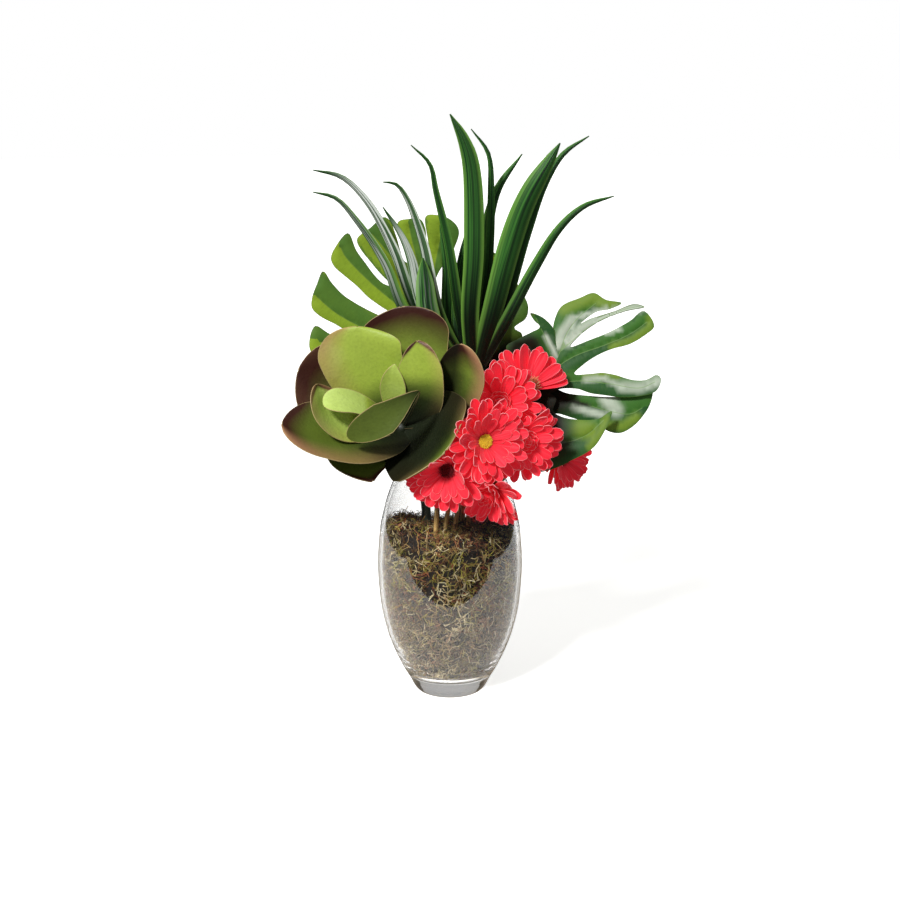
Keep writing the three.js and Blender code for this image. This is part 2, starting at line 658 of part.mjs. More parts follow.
/** The calyx behind a head, on its stem down into the moss. */
function gerberaStem(head) {
  const axis = facing(head.azimuth, head.elevation);
  const centre = seen(...head.at);
  const calyx = turnedSolid(CALYX_PROFILE, HUB_SIDES, centre, axis);
  const top = centre.clone().addScaledVector(axis, -10);
  const behind = centre.clone().addScaledVector(axis, -26);
  const via = [behind, ...(head.via ?? [])];
  return joined([calyx, stemSolid(top, via, head.mouth, head.foot, GERBERA_STEM_RADIUS)]);
}

// ---------------------------------------------------------------- assembly

place("vase", vaseSolid(), GLASS);
place("succulent", succulentSolid(), SUCCULENT_GREEN);
place("sword_leaves", swordSolid(), SWORD_GREEN);
for (const [name, leaf] of Object.entries(MONSTERAS)) place(name, monsteraSolid(leaf), leaf.surface);

GERBERAS.forEach((head, i) => {
  const axis = facing(head.azimuth, head.elevation);
  place(`gerbera_${i + 1}_stem`, gerberaStem(head), STEM_TAN);
  place(`gerbera_${i + 1}_disc`, turnedSolid(DISC_PROFILE, HUB_SIDES, seen(...head.at), axis), head.disc);
});
const FRONT_TO_BACK = [3, 4, 5, 1, 2, 0, 6];
for (const i of FRONT_TO_BACK) place(`gerbera_${i + 1}_petals`, petalsSolid(i), PETAL_RED);

const bores = stems.map(([line, radius]) => rodSolid(line, radius));
place("moss", joined([bores.reduce((moss, bore) => moss.subtract(bore), mossSolid())]), MOSS);

export default arrangement;
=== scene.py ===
"""The looks of the gerberas in a vase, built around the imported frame.

Metres, +Z up, the front towards -Y, +X to the viewer's right. Flowers and leaves are placed by where they
are seen on the front view, which is 900 units square, and by their depth along Y in millimetres.
"""

import logging
import random
from collections.abc import Iterable, Sequence
from dataclasses import dataclass, field
from enum import Enum
from math import asin, cos, pi, radians, sin, sqrt
from typing import Any

import bpy
import numpy as np
from bpy.types import Mesh, Node, Object
from bpy.types import NodeSocket as Socket
from mathutils import Matrix, Vector
from mathutils.bvhtree import BVHTree
from mathutils.geometry import delaunay_2d_cdt


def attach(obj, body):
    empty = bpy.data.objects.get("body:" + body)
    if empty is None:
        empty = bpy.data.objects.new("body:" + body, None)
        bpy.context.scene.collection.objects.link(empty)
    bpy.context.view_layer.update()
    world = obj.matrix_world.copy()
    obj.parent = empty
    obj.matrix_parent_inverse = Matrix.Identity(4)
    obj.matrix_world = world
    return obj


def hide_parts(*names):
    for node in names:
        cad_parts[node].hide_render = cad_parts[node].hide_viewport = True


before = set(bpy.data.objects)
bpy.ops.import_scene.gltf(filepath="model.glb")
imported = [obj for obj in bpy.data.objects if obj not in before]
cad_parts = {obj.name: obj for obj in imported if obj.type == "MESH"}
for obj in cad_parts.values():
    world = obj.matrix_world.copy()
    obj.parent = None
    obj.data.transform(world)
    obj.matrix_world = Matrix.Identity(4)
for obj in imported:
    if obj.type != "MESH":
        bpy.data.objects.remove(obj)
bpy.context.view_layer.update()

log = logging.getLogger("gerberas")

Array = np.ndarray
Point = tuple[float, float, float]
Place = tuple[float, float]
Outline = tuple[Place, ...]

MM = 0.001
TINY = 1e-6  # a length that is as good as none, in the unit at hand
NOTHING = 1e-12  # keeps a division by a length of nothing defined
FAR = 1e9  # further than anything is, in any unit

# ---------------- placing


@dataclass(frozen=True)
class FrontView:
    """The front view of the arrangement: where a point that is seen on it lies."""

    middle: float = 450.0
    unit: float = 1.101 * MM
    aim: Point = (0.0, 0.0, 277.2 * MM)
    tilt: float = radians(14)
    distance: float = 1800 * MM
    lens: float = 65.4

    def back(self) -> Vector:
        """The way from what is aimed at to the eye."""
        return Vector((0, -cos(self.tilt), sin(self.tilt)))

    def eye(self) -> Vector:
        """Where the eye is."""
        return Vector(self.aim) + self.back() * self.distance

    def seen(self, across: float, down: float, depth: float) -> Vector:
        """The point at a depth, in millimetres, that is seen at a place on the view.

        Args:
            across: how far right on the view.
            down: how far down on the view.
            depth: the point's Y, in millimetres.

        Returns:
            The point, in metres.
        """
        up = Vector((0, sin(self.tilt), cos(self.tilt)))
        side = Vector(((across - self.middle) * self.unit, 0, 0))
        on_view = Vector(self.aim) + side + up * (self.middle - down) * self.unit
        eye = self.eye()
        return eye.lerp(on_view, (depth * MM - eye.y) / (on_view.y - eye.y))


VIEW = FrontView()


def facing(azimuth: float, elevation: float) -> Vector:
    """A unit vector facing the viewer, turned right by azimuth and up by elevation, in degrees."""
    a, e = radians(azimuth), radians(elevation)
    return Vector((sin(a) * cos(e), -cos(a) * cos(e), sin(e)))


def linear(colour: int) -> tuple[float, float, float, float]:
    """The linear RGBA of a colour written as 0xRRGGBB."""
    parts = [(colour >> shift & 255) / 255 for shift in (16, 8, 0)]
    return (*(c / 12.92 if c <= 0.04045 else ((c + 0.055) / 1.055) ** 2.4 for c in parts), 1.0)


# ---------------- node trees


class Term:
    """A number in a node tree, with the usual arithmetic."""

    def __init__(self, graph: "Graph", source: Socket | Node) -> None:
        """Wraps an output socket of the graph, or a node's first one."""
        self.graph = graph
        self.socket = source if isinstance(source, Socket) else source.outputs[0]

    def __add__(self, other: "Term | float") -> "Term":
        """The sum."""
        return self.graph.math("ADD", self, other)

    def __sub__(self, other: "Term | float") -> "Term":
        """The difference."""
        return self.graph.math("SUBTRACT", self, other)

    def __rsub__(self, other: float) -> "Term":
        """The difference, from the right."""
        return self.graph.math("SUBTRACT", other, self)

    def __mul__(self, other: "Term | float") -> "Term":
        """The product."""
        return self.graph.math("MULTIPLY", self, other)

    __radd__ = __add__
    __rmul__ = __mul__

    def __abs__(self) -> "Term":
        """The size without its sign."""
        return self.graph.math("ABSOLUTE", self)

    def clamped(self) -> "Term":
        """The same, kept within 0 to 1."""
        return self.graph.math("ADD", self, 0.0, clamp=True)

    def between(self, low: float, high: float) -> "Term":
        """Eases from 0 at low to 1 at high.

        Args:
            low: where the result is 0.
            high: where it is 1, which may be below low.

        Returns:
            The result, within 0 to 1.
        """
        inputs = {"Value": self, "From Min": low, "From Max": high}
        if high < low:
            inputs.update({"From Min": high, "From Max": low, "To Min": 1.0, "To Max": 0.0})
        node = self.graph.node("ShaderNodeMapRange", inputs, interpolation_type="SMOOTHSTEP")
        return Term(self.graph, node)


# The numbers of a Mix node's colour sockets: its share, first and second colour, and its result.
MIX_INPUTS = (0, 6, 7)
MIX_RESULT = 2


class Graph:
    """A node tree, built node by node."""

    def __init__(self, tree: bpy.types.NodeTree) -> None:
        """Wraps a node tree."""
        self.tree = tree

    def node(self, kind: str, inputs: dict[Any, Any] | None = None, **settings: Any) -> Node:
        """Adds a node.

        Args:
            kind: the node's type.
            inputs: values or links, by the socket's name or number. A node stands for its first output.
            settings: the node's properties, which are set first.

        Returns:
            The node.
        """
        made = self.tree.nodes.new(kind)
        for name, value in settings.items():
            setattr(made, name, value)
        for key, value in (inputs or {}).items():
            if isinstance(key, int):
                socket = made.inputs[key]
            else:
                socket = next(s for s in made.inputs if s.name == key and s.enabled)
            value = value.outputs[0] if isinstance(value, Node) else value
            value = value.socket if isinstance(value, Term) else value
            if isinstance(value, Socket):
                self.tree.links.new(value, socket)
            else:
                socket.default_value = value
        return made

    def math(self, operation: str, *operands: Term | float, clamp: bool = False) -> Term:
        """Applies a Math operation to operands, and keeps the result within 0 to 1 if it is to be clamped."""
        inputs = dict(enumerate(operands))
        return Term(self, self.node("ShaderNodeMath", inputs, operation=operation, use_clamp=clamp))

    def value(self, name: str) -> Term:
        """The number that the mesh holds at each point under this name."""
        node = self.node("ShaderNodeAttribute", attribute_type="GEOMETRY", attribute_name=name)
        return Term(self, node.outputs["Fac"])

    def place(self, stretch: Sequence[float] = (1, 1, 1)) -> Socket:
        """The place on the object, in metres, stretched by so much along each axis."""
        inputs = {"Vector": self.node("ShaderNodeTexCoord").outputs["Object"], "Scale": tuple(stretch)}
        return self.node("ShaderNodeMapping", inputs).outputs[0]

    def height(self) -> Term:
        """How high the place on the object is, in metres."""
        return Term(self, self.node("ShaderNodeSeparateXYZ", {0: self.place()}).outputs[2])

    def vector(self, *parts: Term | float) -> Socket:
        """A vector of three numbers."""
        return self.node("ShaderNodeCombineXYZ", dict(enumerate(parts))).outputs[0]

    def noise(self, scale: float, where: Socket | None = None, detail: float = 3.0) -> Term:
        """Cloudy noise of about 0 to 1, with so many features to a metre, or to a unit of where."""
        inputs = {"Vector": where or self.place(), "Scale": scale, "Detail": detail}
        return Term(self, self.node("ShaderNodeTexNoise", inputs))

    def mix(self, share: Term | float, first: Any, second: Any) -> Socket:
        """Mixes two colours.

        Args:
            share: how much of the second.
            first: a colour socket, or a colour as 0xRRGGBB.
            second: the same.

        Returns:
            The mixed colour.
        """
        colours = [linear(c) if isinstance(c, int) else c for c in (first, second)]
        inputs = dict(zip(MIX_INPUTS, (share, *colours)))
        return self.node("ShaderNodeMix", inputs, data_type="RGBA").outputs[MIX_RESULT]

    def ramp(self, share: Term, *stops: tuple[float, int]) -> Socket:
        """A colour that runs through stops.

        Args:
            share: where along them.
            stops: positions and colours as 0xRRGGBB, in order.

        Returns:
            The colour.
        """
        node = self.node("ShaderNodeValToRGB", {"Fac": share})
        elements = node.color_ramp.elements
        while len(elements) < len(stops):
            elements.new(1.0)
        for element, (position, colour) in zip(elements, stops):
            element.position = position
            element.color = linear(colour)
        return node.outputs[0]

    def bump(self, height: Term, distance: float) -> Socket:
        """A normal bumped by a height of 0 to 1, that stands for so many millimetres."""
        inputs = {"Height": height, "Distance": distance * MM, "Strength": 1.0}
        return self.node("ShaderNodeBump", inputs).outputs[0]


@dataclass(frozen=True)
class Finish:
    """A material: subclasses say what its Principled shader gets."""

    name: str

    def surface(self, graph: Graph) -> dict[str, Any]:
        """The Principled shader's inputs, as values or links."""
        raise NotImplementedError

    def material(self) -> bpy.types.Material:
        """Makes the material, but only once.

        Returns:
            The material.
        """
        own_name = self.name + "_finish"
        found = bpy.data.materials.get(own_name)
        if found:
            return found
        made = bpy.data.materials.new(own_name)
        made.use_nodes = True
        made.node_tree.nodes.clear()
        graph = Graph(made.node_tree)
        shader = graph.node("ShaderNodeBsdfPrincipled", self.surface(graph))
        graph.node("ShaderNodeOutputMaterial", {"Surface": shader})
        return made


# ---------------- finishes


def coat(colour: Socket, roughness: Term | float, normal: Socket, gloss: float = 0.5) -> dict[str, Any]:
    """The Principled shader's inputs that nearly every finish sets."""
    return {"Base Color": colour, "Roughness": roughness, "Specular IOR Level": gloss, "Normal": normal}


@dataclass(frozen=True)
class Plain(Finish):
    """A finish of two colours in cloudy patches, which glows by itself."""

    low: int
    high: int
    glow: float
    roughness: float = 0.9
    scale: float = 4.0
    relief: float = 0.6

    def surface(self, graph: Graph) -> dict[str, Any]:
        """Colours the finish.

        Args:
            graph: its nodes.

        Returns:
            Its shader's inputs.
        """
        cloud = graph.noise(self.scale)
        colour = graph.mix(cloud.between(0.3, 0.7), self.low, self.high)
        glow = {"Emission Color": linear(self.high), "Emission Strength": self.glow}
        return coat(colour, self.roughness, graph.bump(cloud, self.relief)) | glow


@dataclass(frozen=True)
class Glass(Finish):
    """Clear glass."""

    tint: int = 0xFEFEFE
    bending: float = 1.47
    coat_bending: float = 1.5
    coat_roughness: float = 0.04

    def surface(self, graph: Graph) -> dict[str, Any]:
        """Colours the finish.

        Args:
            graph: its nodes.

        Returns:
            Its shader's inputs.
        """
        return {
            "Base Color": linear(self.tint),
            "Roughness": 0.0,
            "IOR": self.bending,
            "Transmission Weight": 1.0,
            "Coat Weight": 1.0,
            "Coat Roughness": self.coat_roughness,
            "Coat IOR": self.coat_bending,
        }


@dataclass(frozen=True)
class MossFinish(Finish):
    """Dried moss: each strand has its own tone between three colours, and is paler low in the vase."""

    dark: int
    middle: int
    light: int
    paling: float = 0.25
    pale_low_colour: int = 0xE2CFA6
    paling_heights: Place = (118 * MM, 86 * MM)
    speckle_scale: float = 900.0
    speckles: float = 0.4
    roughness: float = 0.9
    relief: float = 0.4

    def surface(self, graph: Graph) -> dict[str, Any]:
        """Colours the finish.

        Args:
            graph: its nodes.

        Returns:
            Its shader's inputs.
        """
        tone = graph.value("tone")
        speckle = graph.noise(self.speckle_scale)
        colour = graph.ramp(tone, (0.0, self.dark), (0.5, self.middle), (1.0, self.light))
        colour = graph.mix(speckle.between(0.35, 0.75) * self.speckles, colour, self.dark)
        # the lighter strands turn paler low in the vase
        low = graph.height().between(*self.paling_heights) * tone.between(0.1, 0.7) * self.paling
        colour = graph.mix(low, colour, self.pale_low_colour)
        return coat(colour, self.roughness, graph.bump(speckle, self.relief))


@dataclass(frozen=True)
class Cloth(Finish):
    """Petal cloth: deeper to the root as painted shade, painted sheen along soft creases, a pale cut edge,
    and a painted glow of its own colour.
    """

    body: int = 0xFA2238
    # deep: a darker red, painted as shade towards the root, and a darker tone on some petals at random
    deep: int = 0xC00C20
    # light: a paler red, painted as sheen along the creases
    light: int = 0xFF5666
    edge: int = 0xFFBEC0
    edge_width: float = 0.3
    edge_strength: float = 0.6
    crease_sheen_strength: float = 0.55
    shade_strength: float = 0.25
    weave_scale: float = 2600.0
    # glow: how strongly the petals glow with their own colour, a painted glow standing in for light through
    # the thin cloth
    glow: float = 0.1
    roughness: float = 0.62
    sheen: float = 0.15
    gloss: float = 0.3
    relief: float = 1.2

    def surface(self, graph: Graph) -> dict[str, Any]:
        """Colours the finish.

        Args:
            graph: its nodes.

        Returns:
            Its shader's inputs.
        """
        along, across = graph.value("along"), graph.value("across")
        margin, shade = graph.value("margin"), graph.value("shade")
        streak = graph.noise(1.0, graph.vector(across * 3.2, along * 0.7, shade * 40.0))
        weave = graph.noise(self.weave_scale)
        # painted shade: the petal darkens towards its root, where the petals crowd
        colour = graph.mix(along.between(0.0, 0.6), self.deep, self.body)
        # painted sheen: paler streaks along the soft creases
        colour = graph.mix(streak.between(0.45, 0.75) * self.crease_sheen_strength, colour, self.light)
        colour = graph.mix(shade.between(0.6, 1.0) * self.shade_strength, colour, self.deep)
        cut = margin.between(self.edge_width, 0.05) * along.between(0.55, 0.92) * self.edge_strength
        # the petal's colour with its painted shade and sheen, which also feeds its painted glow
        colour_with_painted_light = graph.mix(cut, colour, self.edge)
        more = {"Emission Color": colour_with_painted_light, "Emission Strength": self.glow, "Sheen Weight": self.sheen}
        normal = graph.bump(streak * 0.8 + weave * 0.2, self.relief)
        return coat(colour_with_painted_light, self.roughness, normal, self.gloss) | more


@dataclass(frozen=True)
class Floret(Finish):
    """The small florets of a flower's eye, lighter at their tips."""

    root: int
    tip: int
    shade_strength: float = 0.25
    grain_scale: float = 1500.0
    roughness: float = 0.75
    relief: float = 0.3

    def surface(self, graph: Graph) -> dict[str, Any]:
        """Colours the finish.

        Args:
            graph: its nodes.

        Returns:
            Its shader's inputs.
        """
        along, shade = graph.value("along"), graph.value("shade")
        colour = graph.mix(along.between(0.1, 0.9), self.root, self.tip)
        colour = graph.mix(shade * self.shade_strength, colour, self.root)
        return coat(colour, self.roughness, graph.bump(graph.noise(self.grain_scale), self.relief))


@dataclass(frozen=True)
class StemFinish(Finish):
    """A moulded stem: one colour at its top, another below, with a fine lengthwise grain."""

    upper: int = 0x6E7A38
    lower: int = 0xC09A5A
    grain_colour: int = 0x4A4020
    grain_scale: Point = (900.0, 900.0, 60.0)
    grain_strength: float = 0.4
    roughness: float = 0.6
    relief: float = 0.4

    def surface(self, graph: Graph) -> dict[str, Any]:
        """Colours the finish.

        Args:
            graph: its nodes.

        Returns:
            Its shader's inputs.
        """
        along = graph.value("along")
        grain = graph.noise(1.0, graph.place(self.grain_scale))
        colour = graph.mix(along.between(0.1, 0.6), self.upper, self.lower)
        colour = graph.mix(grain.between(0.3, 0.8) * self.grain_strength, colour, self.grain_colour)
        return coat(colour, self.roughness, graph.bump(grain, self.relief))


@dataclass(frozen=True)
class Succulent(Finish):
    """A fleshy moulded leaf: green, blushed towards its tip, with a pale rim, painted dark with shade by the
    core and on a shadowed side, and with a lightness that is partly painted light and shade.
    """

    dark: int = 0x2C3810
    middle: int = 0x647628
    bright: int = 0xA8BE46
    pale: int = 0xC8E078
    blush: int = 0x401C14
    tan: int = 0xC08E66
    speck: int = 0x20180C
    rim: int = 0xBCA472
    # the near-black of the painted shade by the core and on a shadowed side
    painted_shade_colour: int = 0x0A1006
    cloud_scale: float = 28.0
    fine_scale: float = 320.0
    speck_strength: float = 0.12
    rim_strength: float = 0.75
    painted_shade_strength: float = 0.85
    roughness: float = 0.48
    gloss: float = 0.4
    relief: float = 1.2

    def surface(self, graph: Graph) -> dict[str, Any]:
        """Colours the finish.

        Args:
            graph: its nodes.

        Returns:
            Its shader's inputs.
        """
        light, blushed = graph.value("light"), graph.value("blush")
        tanned, margin = graph.value("tanned"), graph.value("margin")
        cloud = graph.noise(self.cloud_scale)
        fine = graph.noise(self.fine_scale)
        # the lightness is partly the leaf's own green and partly painted light and shade
        lightness = (light + (cloud - 0.5) * 0.3).clamped()
        stops = ((0.0, self.dark), (0.4, self.middle), (0.8, self.bright), (1.0, self.pale))
        green = graph.ramp(lightness, *stops)
        amount = (blushed * 1.25 + (cloud - 0.5) * 0.5 * blushed).clamped()
        colour = graph.mix(amount, green, self.blush)
        colour = graph.mix((tanned + (cloud - 0.5) * 0.3 * tanned).clamped(), colour, self.tan)
        colour = graph.mix(fine.between(0.4, 0.8) * self.speck_strength, colour, self.speck)
        colour = graph.mix(margin.between(0.8, 0.15) * self.rim_strength, colour, self.rim)
        # painted shade: near-black by the core and on a shadowed side
        colour = graph.mix(graph.value("gloom") * self.painted_shade_strength, colour, self.painted_shade_colour)
        return coat(colour, self.roughness, graph.bump(fine * 0.3 + cloud * 0.7, self.relief), self.gloss)


@dataclass(frozen=True)
class Blade(Finish):
    """A sword-shaped leaf: dark green with fine lengthwise veins, paler edges and a waxy gloss, painted shade
    on one half of its fold, along its crease and at its base, and streaks of painted sheen.
    """

    dark: int = 0x0E3418
    green: int = 0x42802E
    lime: int = 0x82B84A
    # the whitish colour of the painted sheen
    frost: int = 0xF4FAF2
    fold_shade: int = 0x0A2010
    # crown: the near-black of the painted shade at the blades' base
    crown: int = 0x050C08
    half_shade_strength: float = 0.45
    fold_shade_strength: float = 0.7
    base_shade_strength: float = 0.94
    roughness: float = 0.34
    gloss: float = 0.35
    relief: float = 0.7

    def surface(self, graph: Graph) -> dict[str, Any]:
        """Colours the finish.

        Args:
            graph: its nodes.

        Returns:
            Its shader's inputs.
        """
        along, across = graph.value("along"), graph.value("across")
        lime, shade = graph.value("lime"), graph.value("shade")
        line = graph.noise(1.0, graph.vector(across * 9.0, along * 1.6, shade * 30.0), 4.0)
        fine = graph.noise(1.0, graph.vector(across * 40.0, along * 3.0, shade * 30.0), 2.0)
        streak = graph.noise(1.0, graph.vector(across * 3.2, along * 1.5, shade * 60.0), 1.0)
        colour = graph.mix(line.between(0.32, 0.66), self.dark, self.green)
        # painted shade: one half of the fold is darker
        colour = graph.mix(across.between(0.04, -0.04) * self.half_shade_strength, colour, self.dark)
        # painted shade along the fold's crease
        colour = graph.mix(abs(across).between(0.16, 0.04) * self.fold_shade_strength, colour, self.fold_shade)
        # painted shade: near-black towards the base, among the crowded blades
        colour = graph.mix(along.between(0.6, 0.2) * self.base_shade_strength, colour, self.crown)
        edge = abs(across + (line - 0.5) * 0.3).between(0.5, 0.95) * lime
        colour = graph.mix(edge, colour, self.lime)
        # painted sheen: whitish streaks along the middle of some blades
        frost = (streak.between(0.49, 0.55) * 1.1 + fine * 0.12).clamped() * graph.value("frost")
        painted_sheen_share = frost * along.between(0.32, 0.6) * along.between(0.97, 0.8)
        colour = graph.mix(painted_sheen_share, colour, self.frost)
        rough = line * 0.15 + self.roughness
        return coat(colour, rough, graph.bump(line * 0.5 + fine * 0.5, self.relief), self.gloss)


@dataclass(frozen=True)
class Monstera(Finish):
    """A cut leaf: a colour on each side of a vein, fine cross veins, sunny spots, pale spots of painted sheen
    and shaded spots of painted shade.
    """

    outer: int = 0x94B030
    inner: int = 0x4A7430
    edge: int = 0x3C4A14
    vein: int = 0x6E8A40
    sunny: int = 0x9CB436
    roughness: float = 0.42
    # pale: the whitish colour of the painted sheen
    pale: int = 0xC6D0BE
    # shaded: the colour of the painted shade
    shaded: int = 0x18180A
    cloud_scale: float = 22.0
    rib_strength: float = 0.15
    vein_strength: float = 0.6
    edge_strength: float = 0.7
    gloss: float = 0.2
    relief: float = 0.4

    def surface(self, graph: Graph) -> dict[str, Any]:
        """Colours the finish.

        Args:
            graph: its nodes.

        Returns:
            Its shader's inputs.
        """
        vein, margin, side = graph.value("vein"), graph.value("margin"), graph.value("side")
        cloud = graph.noise(self.cloud_scale)
        ribs = graph.noise(1.0, graph.vector(graph.value("rib") * 0.9, vein * 0.12, 0.0), 2.0)
        halves = (side.between(0.8, -0.8) - 0.5) * graph.value("apart") * 0.8
        share = (halves + (cloud - 0.5) * 0.5 + 0.5).clamped()
        colour = graph.mix(share, self.outer, self.inner)
        colour = graph.mix(graph.value("sunny").clamped(), colour, self.sunny)
        colour = graph.mix(ribs.between(0.4, 0.7) * self.rib_strength, colour, self.edge)
        # painted sheen: whitish strokes where the leaf shines
        colour = graph.mix((graph.value("pale") * (cloud * 0.5 + 0.5)).clamped(), colour, self.pale)
        colour = graph.mix(vein.between(0.7, 0.2) * self.vein_strength, colour, self.vein)
        colour = graph.mix(margin.between(0.6, 0.15) * self.edge_strength, colour, self.edge)
        # painted shade: dark strokes where the leaf lies in shadow
        colour = graph.mix(graph.value("shaded").clamped(), colour, self.shaded)
        return coat(colour, self.roughness, graph.bump(cloud, self.relief), self.gloss)


# ---------------- curves


def unit(vectors: Array) -> Array:
    """The same vectors with a length of 1."""
    return vectors / np.maximum(np.linalg.norm(vectors, axis=-1, keepdims=True), NOTHING)


def eased(stops: Sequence[Place], position: Any) -> Any:
    """A smooth curve through stops that doesn't swing past them.

    Args:
        stops: positions and values, in order.
        position: where to read it, one number or an array.

    Returns:
        The value or values there.
    """
    xs, ys = np.array(stops, float).T
    steps = np.diff(xs)
    rises = np.diff(ys) / steps
    slopes = np.concatenate(([rises[0]], np.zeros(len(xs) - 2), [rises[-1]]))
    same = rises[:-1] * rises[1:] > 0
    slopes[1:-1][same] = (2 * rises[:-1] * rises[1:])[same] / (rises[:-1] + rises[1:])[same]
    where = np.clip(position, xs[0], xs[-1])
    i = np.clip(np.searchsorted(xs, where, side="right") - 1, 0, len(steps) - 1)
    t = (where - xs[i]) / steps[i]
    rest = 1 - t
    ends = ys[i] * (1 + 2 * t) * rest**2 + ys[i + 1] * (3 - 2 * t) * t**2
    return ends + steps[i] * t * rest * (slopes[i] * rest - slopes[i + 1] * t)


def evenly(line: Array, count: int) -> Array:
    """Places points evenly along a line of straight pieces.

    Args:
        line: the line's points.
        count: how many points there are to be.

    Returns:
        The evenly spaced points.
    """
    lengths = np.concatenate(([0.0], np.cumsum(np.linalg.norm(np.diff(line, axis=0), axis=1))))
    at = np.linspace(0.0, lengths[-1], count)
    return np.stack([np.interp(at, lengths, line[:, k]) for k in range(line.shape[1])], 1)


def path(text: str) -> tuple[tuple[float, ...], ...]:
    """The points of a line, written with commas between numbers and spaces between points."""
    return tuple(tuple(float(number) for number in point.split(",")) for point in text.split())


def curve_through(points: Iterable[Sequence[float]], loop: bool = False, steps: int = 16) -> Array:
    """A smooth curve through points, as many short straight pieces.

    Args:
        points: what it passes through, in any number of dimensions.
        loop: whether it closes.
        steps: how many pieces there are between two points.

    Returns:
        The points of the curve. A loop's first point isn't repeated.
    """
    p = np.array([tuple(q) for q in points], float)
    if loop:
        p = np.vstack([p[-1], p, p[0], p[1]])
    else:
        p = np.vstack([2 * p[0] - p[1], p, 2 * p[-1] - p[-2]])
    parts = []
    for a, b, c, d in zip(p, p[1:], p[2:], p[3:]):
        gaps = [np.linalg.norm(y - x) ** 0.5 for x, y in ((a, b), (b, c), (c, d))]
        k = np.concatenate(([0.0], np.cumsum(gaps)))
        t = np.linspace(k[1], k[2], steps + 1)[:-1, None]
        ab = ((k[1] - t) * a + (t - k[0]) * b) / (k[1] - k[0])
        bc = ((k[2] - t) * b + (t - k[1]) * c) / (k[2] - k[1])
        cd = ((k[3] - t) * c + (t - k[2]) * d) / (k[3] - k[2])
        first = ((k[2] - t) * ab + (t - k[0]) * bc) / (k[2] - k[0])
        second = ((k[3] - t) * bc + (t - k[1]) * cd) / (k[3] - k[1])
        parts.append(((k[2] - t) * first + (t - k[1]) * second) / (k[2] - k[1]))
    return np.vstack(parts if loop else [*parts, p[-2][None]])


def turn_to(axis: Vector, place: Vector) -> Matrix:
    """The transform that stands something made along +Z on a place, pointing along an axis."""
    return Matrix.Translation(place) @ axis.to_track_quat("Z", "Y").to_matrix().to_4x4()


# ---------------- meshes


@dataclass
class Shape:
    """Points and faces, and numbers that are known at each point."""

    points: Array
    faces: list[tuple[int, ...]]
    values: dict[str, Array] = field(default_factory=dict)

    def normals(self) -> Array:
        """Finds the way each point faces.

        Returns:
            A unit vector for each point.
        """
        total = np.zeros_like(self.points)
        for sides in {len(face) for face in self.faces}:
            faces = np.array([face for face in self.faces if len(face) == sides])
            corners = self.points[faces]
            ways = np.cross(corners[:, 2] - corners[:, 0], corners[:, -1] - corners[:, 1])
            if sides == 3:
                ways = np.cross(corners[:, 1] - corners[:, 0], corners[:, 2] - corners[:, 0])
            for k in range(sides):
                np.add.at(total, faces[:, k], ways)
        return unit(total)

    def thickened(self, thickness: float | Array) -> "Shape":
        """A closed solid around this open surface.

        Args:
            thickness: how thick, in metres, everywhere or at each point.

        Returns:
            The solid, which holds front = 1 on the side that this surface faces.
        """
        half = self.normals() * (np.broadcast_to(thickness, len(self.points)) / 2)[:, None]
        n = len(self.points)
        edges = {(f[k], f[(k + 1) % len(f)]) for f in self.faces for k in range(len(f))}
        rim = [(b, a, a + n, b + n) for a, b in sorted(edges) if (b, a) not in edges]
        back = [tuple(i + n for i in reversed(face)) for face in self.faces]
        values = {key: np.concatenate([v, v]) for key, v in self.values.items()}
        values["front"] = np.concatenate([np.ones(n), np.zeros(n)])
        return Shape(np.vstack([self.points + half, self.points - half]), self.faces + back + rim, values)

    def moved(self, transform: Matrix) -> "Shape":
        """The same shape, transformed."""
        m = np.array(transform)
        return Shape(self.points @ m[:3, :3].T + m[:3, 3], self.faces, self.values)

    def with_values(self, **numbers: float) -> "Shape":
        """The same shape, with a number that is the same at all of its points."""
        more = {key: np.full(len(self.points), float(n)) for key, n in numbers.items()}
        return Shape(self.points, self.faces, {**self.values, **more})

    def mesh(self, name: str, sharp: float = 55.0) -> Mesh:
        """Makes a Blender mesh of the shape.

        Args:
            name: the mesh's name.
            sharp: the turn from which an edge is sharp, in degrees.

        Returns:
            The mesh, smooth except at its sharp edges.
        """
        made = bpy.data.meshes.new(name)
        made.from_pydata(self.points.tolist(), [], self.faces)
        for key, numbers in self.values.items():
            layer = made.attributes.new(key, "FLOAT", "POINT")
            layer.data.foreach_set("value", np.asarray(numbers, np.float32))
        made.shade_smooth()
        made.set_sharp_from_angle(angle=radians(sharp))
        return made


def together(shapes: Sequence[Shape]) -> Shape:
    """Joins shapes into one.

    Args:
        shapes: the shapes.

    Returns:
        All of them as one. A number that one of them lacks is 0 there.
    """
    starts = np.cumsum([0, *(len(s.points) for s in shapes)])
    faces = [tuple(i + start for i in f) for s, start in zip(shapes, starts.tolist()) for f in s.faces]
    values = {}
    for key in sorted({key for s in shapes for key in s.values}):
        values[key] = np.concatenate([s.values.get(key, np.zeros(len(s.points))) for s in shapes])
    return Shape(np.vstack([s.points for s in shapes]), faces, values)


def sheet(grid: Array, values: dict[str, Array], flip: bool = False) -> Shape:
    """A surface over a grid of points.

    Args:
        grid: its points, by row and column.
        values: numbers at each of them.
        flip: whether it faces along × across, rather than the other way.

    Returns:
        The surface.
    """
    rows, columns = grid.shape[:2]
    index = np.arange(rows * columns).reshape(rows, columns)
    corners = [index[:-1, :-1], index[:-1, 1:], index[1:, 1:], index[1:, :-1]]
    quads = np.stack(corners[::-1] if flip else corners, -1).reshape(-1, 4)
    flat = {key: np.broadcast_to(v, (rows, columns)).reshape(-1) for key, v in values.items()}
    return Shape(grid.reshape(-1, 3), [tuple(q) for q in quads.tolist()], flat)


